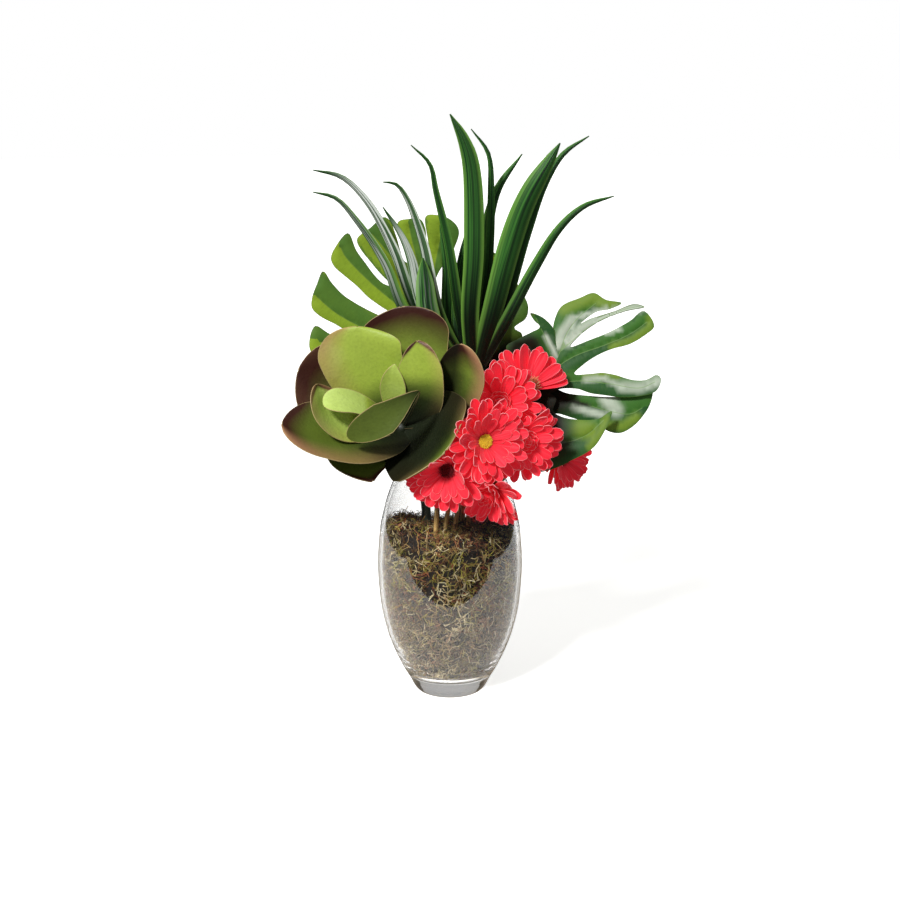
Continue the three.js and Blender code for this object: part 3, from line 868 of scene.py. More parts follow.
def ring_faces(rings: int, sides: int) -> list[tuple[int, ...]]:
    """The faces of a body of rings, closed at its ends by the two points that follow the rings' own.

    Args:
        rings: how many rings there are.
        sides: how many points a ring has.

    Returns:
        The faces, by the numbers of their points.
    """
    following = [(k + 1) % sides for k in range(sides)]
    faces = []
    for low in range(0, (rings - 1) * sides, sides):
        faces += [(low + a, low + b, low + b + sides, low + a + sides) for a, b in enumerate(following)]
    first, last = rings * sides, rings * sides + 1
    top = (rings - 1) * sides
    for a, b in enumerate(following):
        faces += [(first, b, a), (last, top + a, top + b)]
    return faces


def tube(line: Array, radii: float | Array, sides: int) -> Shape:
    """Makes a round rod along a line, closed at both ends.

    Args:
        line: the points of its middle line.
        radii: its radius, everywhere or at each of those points.
        sides: how many sides it has.

    Returns:
        The rod, with along running from 0 to 1.
    """
    count = len(line)
    ways = unit(np.gradient(line, axis=0))
    side = Vector(ways[0]).orthogonal()
    rings = []
    turns = np.linspace(0, 2 * pi, sides, endpoint=False)
    for place, way, radius in zip(line, ways, np.broadcast_to(radii, count)):
        along = Vector(way)
        side = (side - along * side.dot(along)).normalized()
        other = along.cross(side)
        ring = np.outer(np.cos(turns), side) + np.outer(np.sin(turns), other)
        rings.append(place + radius * ring)
    shares = np.concatenate([np.repeat(np.linspace(0, 1, count), sides), [0.0, 1.0]])
    return Shape(np.vstack([*rings, line[:1], line[-1:]]), ring_faces(count, sides), {"along": shares})


def turned(profile: Sequence[Place], sides: int) -> Shape:
    """Makes a solid that is turned about Z.

    Args:
        profile: radius and height, in millimetres, from the pole at the bottom, outside and up, to the
            pole at the end.
        sides: how many sides it has.

    Returns:
        The solid, with along running from 0 to 1 over the profile.
    """
    turns = np.linspace(0, 2 * pi, sides, endpoint=False)
    outline = [(r * MM, h * MM) for r, h in profile]
    rings = [np.stack([r * np.cos(turns), r * np.sin(turns), np.full(sides, h)], 1) for r, h in outline[1:-1]]
    ends = [(0, 0, outline[0][1]), (0, 0, outline[-1][1])]
    shares = np.concatenate([np.repeat(np.linspace(0, 1, len(rings)), sides), [0.0, 1.0]])
    return Shape(np.vstack([*rings, ends]), ring_faces(len(rings), sides), {"along": shares})


def add_object(name: str, data: bpy.types.ID) -> Object:
    """Adds an object to the scene.

    Args:
        name: the object's name.
        data: its mesh, light or camera.

    Returns:
        The object.
    """
    made = bpy.data.objects.new(name, data)
    bpy.context.scene.collection.objects.link(made)
    return made


def add_piece(name: str, mesh: Mesh, finish: Finish, slot: str, *nodes: str) -> Object:
    """Adds a finished piece to the object.

    Args:
        name: the piece's name.
        mesh: its mesh, in place.
        finish: what it is dressed in.
        slot: the record's material slot; not used.
        nodes: the CAD nodes that it stands for.

    Returns:
        The piece.
    """
    mesh.materials.clear()
    mesh.materials.append(finish.material())
    piece = add_object(name, mesh)
    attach(piece, "root")
    if nodes:
        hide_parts(*nodes)
    log.info("%s: %d faces", name, len(mesh.polygons))
    return piece


# ---------------- repeats by geometry nodes


class GeometryTree:
    """A geometry node tree with named inputs, for one use on one mesh."""

    def __init__(self, name: str, **inputs: str) -> None:
        """Makes an empty tree.

        Args:
            name: the tree's name.
            inputs: the type of each input socket, by its name.
        """
        self.tree = bpy.data.node_groups.new(name, "GeometryNodeTree")
        interface = self.tree.interface
        interface.new_socket("Geometry", in_out="INPUT", socket_type="NodeSocketGeometry")
        interface.new_socket("Geometry", in_out="OUTPUT", socket_type="NodeSocketGeometry")
        for key, kind in inputs.items():
            interface.new_socket(key, in_out="INPUT", socket_type=kind)
        self.graph = Graph(self.tree)
        self.start = self.graph.node("NodeGroupInput")

    def given(self, name: str) -> Socket:
        """The socket that an input comes from."""
        return self.start.outputs[name]

    def number(self, name: str) -> Term:
        """An input that is a number."""
        return Term(self.graph, self.given(name))

    def held(self, name: str, kind: str) -> Socket:
        """The value that each point holds under a name."""
        node = self.graph.node("GeometryNodeInputNamedAttribute", {"Name": name}, data_type=kind)
        return next(s for s in node.outputs if s.enabled)

    def finish(self, geometry: Node) -> None:
        """Ends the tree with real instances, dressed in its material.

        Args:
            geometry: what the tree has made.
        """
        real = self.graph.node("GeometryNodeRealizeInstances", {"Geometry": geometry})
        inputs = {"Geometry": real, "Material": self.given("Material")}
        self.graph.node("NodeGroupOutput", {0: self.graph.node("GeometryNodeSetMaterial", inputs)})

    def run(self, mesh: Mesh, name: str, **inputs: Any) -> Mesh:
        """Runs the tree on a mesh.

        Args:
            mesh: what it starts from.
            name: the result's name.
            inputs: its inputs, by name.

        Returns:
            A plain mesh.
        """
        source = add_object(name + "_source", mesh)
        modifier = source.modifiers.new(name, "NODES")
        modifier.node_group = self.tree
        items = {item.name: item for item in self.tree.interface.items_tree if item.in_out == "INPUT"}
        for key, value in inputs.items():
            modifier[items[key].identifier] = value
        graph = bpy.context.evaluated_depsgraph_get()
        graph.update()
        made = bpy.data.meshes.new_from_object(source.evaluated_get(graph), depsgraph=graph)
        made.name = name
        source.modifiers.clear()
        bpy.data.objects.remove(source)
        bpy.data.meshes.remove(mesh)
        return made


def scatter_tree() -> GeometryTree:
    """Builds a tree that puts one of a collection's shapes on each point of a mesh.

    Returns:
        The tree, which reads each point's turn, size and kind.
    """
    made = GeometryTree("scatter", Kinds="NodeSocketCollection", Material="NodeSocketMaterial")
    graph = made.graph
    inputs = {"Collection": made.given("Kinds"), "Separate Children": True, "Reset Children": True}
    kinds = graph.node("GeometryNodeCollectionInfo", inputs, transform_space="ORIGINAL")
    inputs = {
        "Points": made.given("Geometry"),
        "Instance": kinds,
        "Pick Instance": True,
        "Instance Index": made.held("kind", "INT"),
        "Rotation": graph.node("FunctionNodeEulerToRotation", {"Euler": made.held("turn", "FLOAT_VECTOR")}),
        "Scale": made.held("size", "FLOAT_VECTOR"),
    }
    made.finish(graph.node("GeometryNodeInstanceOnPoints", inputs))
    return made


@dataclass
class Spot:
    """Where one repeat goes: its place and turn, its stretch, its kind and its shade from 0 to 1."""

    transform: Matrix
    size: Point
    kind: int
    shade: float


def scattered(
    name: str, spots: Sequence[Spot], kinds: Sequence[Shape], finish: Finish, tree: GeometryTree
) -> Mesh:
    """Puts small shapes on spots.

    Args:
        name: the result's name.
        spots: where they go.
        kinds: the shapes to pick from.
        finish: what they are dressed in.
        tree: the tree that scatters.

    Returns:
        One mesh of all of them.
    """
    folder = bpy.data.collections.new(name + "_kinds")
    bpy.context.scene.collection.children.link(folder)
    sources = []
    for i, kind in enumerate(kinds):
        source = bpy.data.objects.new(f"{name}_kind_{i:02d}", kind.mesh(f"{name}_kind_{i:02d}"))
        folder.objects.link(source)
        sources.append(source)
    mesh = bpy.data.meshes.new(name + "_spots")
    mesh.from_pydata([tuple(spot.transform.to_translation()) for spot in spots], [], [])
    turns = [tuple(spot.transform.to_euler()) for spot in spots]
    for key, kind, numbers in (
        ("turn", "FLOAT_VECTOR", [x for turn in turns for x in turn]),
        ("size", "FLOAT_VECTOR", [x for spot in spots for x in spot.size]),
        ("kind", "INT", [spot.kind for spot in spots]),
        ("shade", "FLOAT", [spot.shade for spot in spots]),
    ):
        layer = mesh.attributes.new(key, kind, "POINT")
        layer.data.foreach_set("vector" if kind == "FLOAT_VECTOR" else "value", numbers)
    made = tree.run(mesh, name, Kinds=folder, Material=finish.material())
    for source in sources:
        data = source.data
        bpy.data.objects.remove(source)
        bpy.data.meshes.remove(data)
    bpy.data.collections.remove(folder)
    return made


# ---------------- vase and moss


@dataclass
class Vase:
    """The blown barrel vase: its outline, wall and base, in millimetres.

    The floor rises into a bowl and has faint rings near its middle, as blown glass has.
    """

    height: float = 256.0
    wall: float = 3.6
    base: float = 19.0
    bowl: float = 36.0
    bowl_power: float = 1.5
    ripple: float = 0.45
    ripple_reach: float = 16.0
    ripple_turn: float = 0.8
    lip_drop: float = 0.8
    sides: int = 160
    sharp: float = 60.0
    outline: Outline = path(
        "0,36 3,39.5 14,45.5 28,53.5 46,62 72,71.2 106,78 146,80.6 184,78.4 216,72 240,64 256,57"
    )
    foot: Outline = path("0.0,1.6 20.0,1.2 31.0,0.0 35.0,0.0 37.2,0.7")

    def inside(self, height: Any) -> Any:
        """Finds the radius inside the glass.

        Args:
            height: how high above the table, one number or an array.

        Returns:
            The radius or radii there.
        """
        height = np.asarray(height, float)
        wall = eased(self.outline, height) - self.wall
        rise = np.clip((height - self.base) / self.bowl, 0.0, 1.0)
        corner = float(eased(self.outline, self.base + self.bowl)) - self.wall
        bowl = corner * np.sin(np.arccos(1 - rise ** (1 / self.bowl_power)))
        clear = np.where(rise < 1, np.minimum(bowl, wall), wall)
        near_floor = np.exp(-(((height - self.base - self.ripple_reach) / self.ripple_reach) ** 2))
        return clear - self.ripple * near_floor * (1 + np.sin(height * self.ripple_turn))

    def profile(self) -> list[Place]:
        """Draws the whole outline of the glass.

        Returns:
            Radius and height, from the middle of its foot to the middle of its floor.
        """
        top, low = self.height - self.lip_drop, self.base + self.bowl
        heights = np.concatenate([np.linspace(2.0, 20.0, 10), np.linspace(26.0, top, 44)])
        outside = [(float(eased(self.outline, h)), float(h)) for h in heights]
        rim = float(eased(self.outline, self.height))
        lip = [
            (rim - self.wall / 2 + self.wall / 2 * cos(t), self.height + self.wall / 3 * sin(t))
            for t in np.linspace(0.15, pi - 0.15, 9)
        ]
        inner = np.concatenate([np.linspace(top, 82, 26), np.linspace(80, low + 1, 30)])
        shares = 1 - np.cos(np.linspace(pi / 2, 0.15, 26))
        rounds = self.base + self.bowl * shares**self.bowl_power
        inside = [(float(self.inside(h)), float(h)) for h in [*inner, *rounds]]
        return [*self.foot, *outside, *lip, *inside, (0.0, self.base)]

    def build(self) -> None:
        """Blows the vase, whose clear glass casts no shadow."""
        mesh = turned(self.profile(), self.sides).mesh("vase", self.sharp)
        piece = add_piece("vase_blown", mesh, Glass("vase_glass"), "vase_glass", "vase")
        piece.visible_shadow = False


@dataclass(frozen=True)
class MossTone:
    """The strands of one tone: how many, their finish, and how much longer and thicker they are."""

    strands: int
    finish: MossFinish
    longer: float = 1.0
    thicker: float = 1.0


@dataclass(frozen=True)
class Mound:
    """A mound or hollow in the top of the moss, in millimetres: its middle, reach and lift."""

    x: float
    y: float
    reach: float
    lift: float


@dataclass
class Moss:
    """The dried moss that fills the vase: a core painted near black as the shade deep inside the moss, and
    curled strands in several tones.
    """

    vase: Vase
    top: float = 198.0
    area: float = 0.135  # the core's surface, in square metres
    core_sides: int = 72
    core_rings: int = 60
    lump: float = 1.6
    length: float = 14.0
    thickness: float = 0.7
    curl: float = 12.0
    curl_strength: float = 4.0
    strand_points: int = 9
    glass_gap: float = 1.0
    floor_gap: float = 2.5
    seed: int = 11
    tone_seed: int = 5
    mounds: tuple[Mound, ...] = (
        Mound(-16, -50, 22.0, -12.0), Mound(-56, -24, 20.0, 7.0),
        Mound(0, 45, 48.0, -24.0), Mound(-31, -10, 14.0, -16.0),
    )
    tones: tuple[MossTone, ...] = (
        MossTone(3000, MossFinish("moss_dark", 0x160C06, 0x36220F, 0x604422)),
        MossTone(2600, MossFinish("moss_brown", 0x301C0C, 0x7A542A, 0xC8A05C)),
        MossTone(1800, MossFinish("moss_rust", 0x421A0C, 0x904628, 0xC07C52)),
        MossTone(2400, MossFinish("moss_olive", 0x33310C, 0x847A24, 0xCABE50)),
        MossTone(1200, MossFinish("moss_pale", 0x8A763C, 0xCAB670, 0xF4E8B8, 0.6)),
        MossTone(800, MossFinish("moss_curls", 0x6E5A34, 0xA8905A, 0xE8DCB4, 0.7), 1.6, 1.5),
    )
    # the core is painted near black, as painted shade deep inside the moss between the strands
    core_finish: MossFinish = MossFinish("moss_core", 0x120B05, 0x20160B, 0x2E2212, 0.0)

    def core(self) -> Shape:
        """Shapes the lumpy core, a little inside the glass.

        Returns:
            The core.
        """
        floor = self.vase.base + 5.0
        heights = [floor + 3, floor + 9, floor + 17, 52, 72, 96, 122, 148, 172, 188, self.top - 4]
        profile = [(0.0, floor), (float(self.vase.inside(floor)) * 0.6, floor)]
        profile += [(float(self.vase.inside(h)) - 6.0, float(h)) for h in heights]
        edge = float(self.vase.inside(self.top)) - 14
        profile += [(edge, self.top), (28, self.top + 4), (0.0, self.top + 5)]
        shape = turned(evenly(np.array(profile), self.core_rings).tolist(), self.core_sides)
        x, y, z = shape.points.T / MM
        turn = np.arctan2(y, x)
        lump = np.sin(5 * turn + z * 0.11) * np.cos(3 * turn - z * 0.17) + 0.5 * np.sin(11 * turn + z * 0.3)
        shrink = 1 - np.clip(lump + 1, 0, 2) * self.lump / np.maximum(np.hypot(x, y), 20)
        shape.points[:, 0] *= shrink
        shape.points[:, 1] *= shrink
        upper = np.clip((z - 150) / 50, 0, 1)
        for mound in self.mounds:
            away = ((x - mound.x) ** 2 + (y - mound.y) ** 2) / mound.reach**2
            shape.points[:, 2] += upper * mound.lift * MM * np.exp(-away)
        return shape

    def strand_tree(self) -> GeometryTree:
        """Builds a tree that grows curled strands all over a mesh.

        Returns:
            The tree.
        """
        kinds = {"Seed": "NodeSocketInt", "Material": "NodeSocketMaterial"}
        kinds.update(dict.fromkeys(("Density", "Length", "Thickness", "Curl"), "NodeSocketFloat"))
        made = GeometryTree("strands", **kinds)
        graph = made.graph
        tone = graph.node("FunctionNodeRandomValue", {2: 0.0, 3: 1.0, 8: self.tone_seed}).outputs[1]
        inputs = {"Geometry": self.placed_lines(made), "Name": "tone", "Value": tone}
        settings = {"data_type": "FLOAT", "domain": "INSTANCE"}
        strands = graph.node("GeometryNodeStoreNamedAttribute", inputs, **settings)
        real = graph.node("GeometryNodeRealizeInstances", {"Geometry": strands})
        each = Term(graph, made.held("tone", "FLOAT")) * 40.0
        inputs = {"W": each, "Scale": 170.0, "Detail": 1.0}
        swirl = graph.node("ShaderNodeTexNoise", inputs, noise_dimensions="4D")
        inputs = {0: swirl.outputs["Color"], 1: (0.5, 0.5, 0.5)}
        centred = graph.node("ShaderNodeVectorMath", inputs, operation="SUBTRACT")
        inputs = {0: centred, "Scale": made.number("Curl") * self.curl_strength}
        offset = graph.node("ShaderNodeVectorMath", inputs, operation="SCALE")
        curled = graph.node("GeometryNodeSetPosition", {"Geometry": real, "Offset": offset})
        inputs = {"Resolution": 3, "Radius": made.number("Thickness") * 0.5}
        ring = graph.node("GeometryNodeCurvePrimitiveCircle", inputs)
        inputs = {"Curve": curled, "Profile Curve": ring, "Fill Caps": True}
        made.finish(graph.node("GeometryNodeCurveToMesh", inputs))
        return made

    def placed_lines(self, made: GeometryTree) -> Node:
        """Adds the nodes that lay straight lines in patches on the mesh.

        Args:
            made: the tree that they go into.

        Returns:
            The node that gives the lines, as instances.
        """
        graph, seed = made.graph, made.given("Seed")
        inputs = {"W": made.number("Seed") * 3.7, "Scale": 38.0, "Detail": 1.0}
        patches = Term(graph, graph.node("ShaderNodeTexNoise", inputs, noise_dimensions="4D"))
        density = made.number("Density") * (patches.between(0.36, 0.64) * 1.6 + 0.2)
        inputs = {"Mesh": made.given("Geometry"), "Density": density, "Seed": seed}
        spots = graph.node("GeometryNodeDistributePointsOnFaces", inputs)
        half = made.number("Length") * 0.5
        inputs = {"Start": graph.vector(half * -1.0, 0.0, 0.0), "End": graph.vector(half, 0.0, 0.0)}
        line = graph.node("GeometryNodeCurvePrimitiveLine", inputs)
        inputs = {0: (-0.5, -0.5, 0.0), 1: (0.5, 0.5, 2 * pi), 8: seed}
        lean = graph.node("FunctionNodeRandomValue", inputs, data_type="FLOAT_VECTOR")
        turn = graph.node("FunctionNodeEulerToRotation", {"Euler": lean})
        inputs = {"Rotation": spots.outputs["Rotation"], "Rotate By": turn}
        inputs = {
            "Points": spots,
            "Instance": graph.node("GeometryNodeResampleCurve", {"Curve": line, "Count": self.strand_points}),
            "Rotation": graph.node("FunctionNodeRotateRotation", inputs, rotation_space="LOCAL"),
            "Scale": graph.node("FunctionNodeRandomValue", {2: 0.5, 3: 1.25, 8: seed}).outputs[1],
        }
        return graph.node("GeometryNodeInstanceOnPoints", inputs)

    def keep_inside(self, mesh: Mesh) -> None:
        """Moves the points of a mesh that pass through the glass or its floor back inside.

        Args:
            mesh: the mesh.
        """
        points = np.zeros(len(mesh.vertices) * 3, np.float32)
        mesh.vertices.foreach_get("co", points)
        points = points.reshape(-1, 3) / MM
        points[:, 2] = np.maximum(points[:, 2], self.vase.base + self.floor_gap)
        radius = np.hypot(points[:, 0], points[:, 1])
        most = self.vase.inside(points[:, 2]) - self.glass_gap
        points[:, :2] *= np.minimum(1, most / np.maximum(radius, TINY))[:, None]
        mesh.vertices.foreach_set("co", (points * MM).reshape(-1).astype(np.float32))
        mesh.update()

    def build(self) -> None:
        """Fills the vase."""
        core = self.core()
        tree = self.strand_tree()
        for i, tone in enumerate(self.tones):
            name = tone.finish.name
            inputs = {
                "Density": tone.strands / self.area,
                "Seed": self.seed + i,
                "Length": self.length * MM * tone.longer,
                "Thickness": self.thickness * MM * tone.thicker,
                "Curl": self.curl * MM,
                "Material": tone.finish.material(),
            }
            mesh = tree.run(core.mesh(name + "_core"), name, **inputs)
            mesh.shade_smooth()
            self.keep_inside(mesh)
            add_piece(name, mesh, tone.finish, "moss", "moss")
        add_piece("moss_core", core.mesh("moss_core"), self.core_finish, "moss")


# ---------------- stems


@dataclass
class Stem:
    """A stem from a flower or leaf, through the mouth of the vase and down into the moss, in millimetres."""

    top: Sequence[float]
    mouth: Place
    foot: Place
    radius: float
    via: tuple[Point, ...] = ()
    mouth_height: float = 256.0
    moss_height: float = 205.0
    foot_height: float = 130.0
    steps: int = 40

    def shape(self, sides: int = 12) -> Shape:
        """Makes the stem's rod.

        Args:
            sides: how many sides it has.

        Returns:
            The rod.
        """
        heights = (self.mouth_height, self.moss_height, self.foot_height)
        low = [(*at, height) for at, height in zip((self.mouth, self.foot, self.foot), heights)]
        line = evenly(curve_through([self.top, *self.via, *low]), self.steps)
        return tube(line * MM, self.radius * MM, sides)


@dataclass
class ThickStem(Stem):
    """The thick stem of the rosette or of the tuft."""

    radius: float = 5.0
    sides: int = 16
    finish: StemFinish = StemFinish("thick_stem", 0x3C4A2C, 0x2E4034)

    def build(self, name: str, slot: str) -> None:
        """Builds the stem as a piece."""
        add_piece(name, self.shape(self.sides).mesh(name), self.finish, slot)


# ---------------- succulent rosette


class LeafForm(Enum):
    """The outline of a leaf of the rosette: half of its width along its length, before its round end."""

    ROUND = path("0,0.2 0.25,0.56 0.5,0.9 0.74,1.0")
    BROAD = path("0,0.5 0.2,0.86 0.5,1.0 0.74,0.97")
    POINTED = path("0,0.2 0.2,0.55 0.42,0.94 0.58,1.0 0.76,0.8 0.9,0.42 0.97,0.16 1,0.03")
    BLUNT = path("0,0.3 0.25,0.75 0.5,1.0 0.75,0.98 0.9,0.72 0.97,0.4 1,0.04")
    FOLDED = path("0,0.1 0.3,0.06 0.45,0.02 0.52,0.2 0.63,0.6 0.74,0.96")


@dataclass
class RosetteLeaf:
    """One leaf: the points that it bends through, its tip, its width, the way across it, and its looks.

    The share of its length near the core that is painted dark, as painted shade, is given too, and so is a
    side that is painted in shade all along, as a painted shadow. Light is how light its green is: partly its
    own tone and partly painted light and shade, low for a leaf in shadow. Tan colours both sides, or only the
    side that its sign says.
    """

    middle: tuple[Point, ...]
    tip: Point
    width: float
    across: Point
    # light: how light the green is, partly its own tone and partly painted light and shade, low for a leaf in
    # shadow
    light: float = 0.5
    blush: float = 0.3
    tan: float = 0.0
    form: LeafForm = LeafForm.ROUND
    # how far out from the core the leaf is painted dark with shade
    gloom: float = 0.15
    tan_side: int = 0
    wave: float = 0.02
    # a side that is painted in shade all along, as a painted shadow
    shadowed_side: int = 0


@dataclass
class Rosette:
    """The succulent: fleshy leaves in a spiral on one core, on a thick stem, in millimetres."""

    core_at: Point = (402, 428, -52)
    core_profile: Outline = path("0,-14 8,-12 11,-4 9,3 5,7 0,8")
    axis: Vector = field(default_factory=lambda: facing(-10, 35))
    cupping: float = 0.2
    thick: float = 3.2
    rim: float = 0.22  # the leaf's thickness at its rim, as a share of the whole
    rim_width: float = 14.0
    shoulder: float = 0.74
    stem_mouth: Place = (-33, -14)
    stem_foot: Place = (-26, -6)
    stem_via: tuple[Point, ...] = ((-42, -28, 290),)
    stem_sunk: float = 6.0
    sharp: float = 70.0
    leaves: tuple[RosetteLeaf, ...] = (
        RosetteLeaf(((410, 352, -38),), (401, 307, -48), 94, (1, 0, 0), 0.5, 0.36),
        RosetteLeaf(((350, 385, -36),), (298, 371, -52), 90, (0.4, 0, 0.9), 0.45, 0.62, 0.1),
        RosetteLeaf(
            ((480, 410, -74),), (460, 344, -92), 56, (0.8, -0.55, 0.2), 0.5, 0.2, 0.9, gloom=0.5,
            tan_side=1, shadowed_side=-1,
        ),
        RosetteLeaf(
            ((346, 454, -98),), (282, 423, -112), 84, (0.1, -0.85, -0.5), 0.38, 0.19, 0.9, LeafForm.BROAD,
            0.3, tan_side=1,
        ),
        RosetteLeaf(((346, 452, -70),), (373, 481, -100), 92, (1, 0, -0.25), 0.3, 0.1, form=LeafForm.POINTED),
        RosetteLeaf(
            ((438, 444, -98),), (445, 451, -128), 112, (0.7, 0, 0.71), 0.55, 0.0, 0.3, LeafForm.BROAD, 0.82
        ),
        RosetteLeaf(
            ((357, 370, -64),), (357, 327, -66), 88, (0.95, 0, 0.26), 0.8, 0.0, 0.75, tan_side=-1, wave=0.05
        ),
        RosetteLeaf(
            ((434, 404, -80),), (417, 341, -86), 50, (0.95, -0.3, 0), 0.74, 0.03, 0.3, LeafForm.BLUNT,
            0.44, tan_side=1, wave=0.06,
        ),
        RosetteLeaf(((322, 440, -98),), (317, 384, -92), 52, (-0.34, -0.75, -0.46), 0.9, 0.05, 0.5),
        RosetteLeaf(((352, 392, -94),), (324, 406, -104), 32, (0, 0.8, 0.6), 0.96, 0.0),
        RosetteLeaf(((388, 388, -80),), (395, 364, -82), 27, (1, 0, 0), 0.86, 0.0, form=LeafForm.POINTED),
        RosetteLeaf(
            path("412,410,-84 419,391,-112 387,415,-126"), (348, 438, -116), 37, (-0.56, -0.1, 0.83), 0.3,
            0.0, form=LeafForm.FOLDED, gloom=0.45,
        ),
    )

    def spine(self, leaf: RosetteLeaf, along: Array) -> tuple[Array, Array]:
        """Bends the middle line of a leaf.

        Args:
            leaf: the leaf.
            along: shares of its length.

        Returns:
            The points of the line at those shares, and the way it runs there.
        """
        places = [np.array(VIEW.seen(*p)) for p in (self.core_at, *leaf.middle, leaf.tip)]
        if len(leaf.middle) > 1:
            fine = evenly(curve_through(places), 200)
            shares = np.linspace(0, 1, len(fine))
            line = np.stack([np.interp(along, shares, fine[:, k]) for k in range(3)], 1)
            ways = np.gradient(fine, axis=0)
            return line, unit(np.stack([np.interp(along, shares, ways[:, k]) for k in range(3)], 1))
        root, middle, tip = places
        s = along[:, None]
        line = root * (1 - s) ** 2 + 2 * middle * s * (1 - s) + tip * s**2
        return line, unit(2 * (middle - root) * (1 - s) + 2 * (tip - middle) * s)

    def half_width(self, leaf: RosetteLeaf, along: Array) -> Array:
        """Finds half of a leaf's width, with its round end.

        Args:
            leaf: the leaf.
            along: shares of its length.

        Returns:
            Half of the width at those shares, in metres.
        """
        half = eased(leaf.form.value, along)
        if leaf.form not in (LeafForm.POINTED, LeafForm.BLUNT):
            round_end = np.sqrt(np.maximum(0, 1 - ((along - self.shoulder) / (1 - self.shoulder)) ** 2))
            half = np.where(along < self.shoulder, half, half[along >= self.shoulder][0] * round_end)
        return half * leaf.width / 2 * MM

    def looks(self, leaf: RosetteLeaf, s: Array, t: Array) -> dict[str, Array]:
        """Works out the numbers that a leaf's finish reads.

        Args:
            leaf: the leaf.
            s: shares of its length, in a column.
            t: places across it, from -1 to 1.

        Returns:
            The numbers at each of those places, by name.
        """
        reach = s + 0.12 * t**2
        sides = np.abs(t) if leaf.tan_side == 0 else t * leaf.tan_side
        # painted shade near the core, and a painted shadow along one side
        root_shade = 1 - np.clip((s - leaf.gloom + 0.15) / 0.3, 0, 1)
        side_shade = np.clip((t * leaf.shadowed_side + 0.25) / 0.6, 0, 1) * abs(leaf.shadowed_side)
        blushed = np.clip((reach - (1 - leaf.blush)) / max(leaf.blush, 0.05), 0, 1)
        return {
            # the lightness fades to none near the core, a painted shade
            "light": leaf.light * np.clip((s - leaf.gloom) / 0.28, 0, 1),
            "gloom": np.maximum(root_shade, side_shade),
            "blush": blushed * (leaf.blush > 0),
            "tanned": leaf.tan * np.clip((sides - 0.3) / 0.6, 0, 1) * s,
        }

    def leaf(self, leaf: RosetteLeaf) -> Shape:
        """Shapes one leaf: a cupped, fleshy sheet along a bent line, rounded at its tip.

        Args:
            leaf: the leaf.

        Returns:
            Its solid.
        """
        rise = np.linspace(0, self.shoulder, 18)[:-1]
        end = self.shoulder + (1 - self.shoulder) * np.sin(np.linspace(0, radians(87), 14))
        along = np.concatenate([rise, end])
        line, ways = self.spine(leaf, along)
        wide = np.array(leaf.across, float)
        wide = unit(wide - ways * (ways @ wide)[:, None])
        up = np.cross(ways, wide)
        flip = up[-1] @ np.array(self.axis) < 0
        up = -up if flip else up
        s, t = along[:, None], np.linspace(-1, 1, 17)
        half = self.half_width(leaf, along)[:, None]
        lift = self.cupping * half * t**2
        lift = lift + leaf.wave * leaf.width * MM * np.sin(s * 9 + t * 1.5) * t * s
        grid = line[:, None] + wide[:, None] * (half * t)[..., None] + up[:, None] * lift[..., None]
        length = np.linalg.norm(np.diff(line, axis=0), axis=1).sum() / MM
        values = self.looks(leaf, s, t)
        values["margin"] = np.minimum(half / MM * (1 - np.abs(t)), (1 - s) * length)
        surface = sheet(grid, values, flip=not flip)
        inward = np.clip(surface.values["margin"] / self.rim_width, 0, 1) ** 0.6
        return surface.thickened(self.thick * (self.rim + (1 - self.rim) * inward) * MM)

    def build(self) -> None:
        """Builds the rosette."""
        centre = VIEW.seen(*self.core_at)
        core = turned(self.core_profile, 24).moved(turn_to(self.axis, centre))
        leaves = [self.leaf(leaf) for leaf in self.leaves]
        # the core is painted fully in shade
        whole = together([core.with_values(gloom=1.0, margin=20.0), *leaves])
        mesh = whole.mesh("rosette", self.sharp)
        add_piece("rosette", mesh, Succulent("succulent_leaf"), "succulent_leaf", "succulent")
        top = tuple((centre - self.axis * self.stem_sunk * MM) / MM)
        stem = ThickStem(top, self.stem_mouth, self.stem_foot, via=self.stem_via)
        stem.build("rosette_stem", "succulent_leaf")


# ---------------- sword leaves


@dataclass
class SwordLeaf:
    """One blade: the points that its middle passes, its width, the way its channel faces, and its looks."""

    points: tuple[Point, ...]
    width: float
    azimuth: float
    lime: float = 0.15
    # how strongly whitish streaks of painted sheen show on the blade
    frost: float = 0.0
    full: bool = False


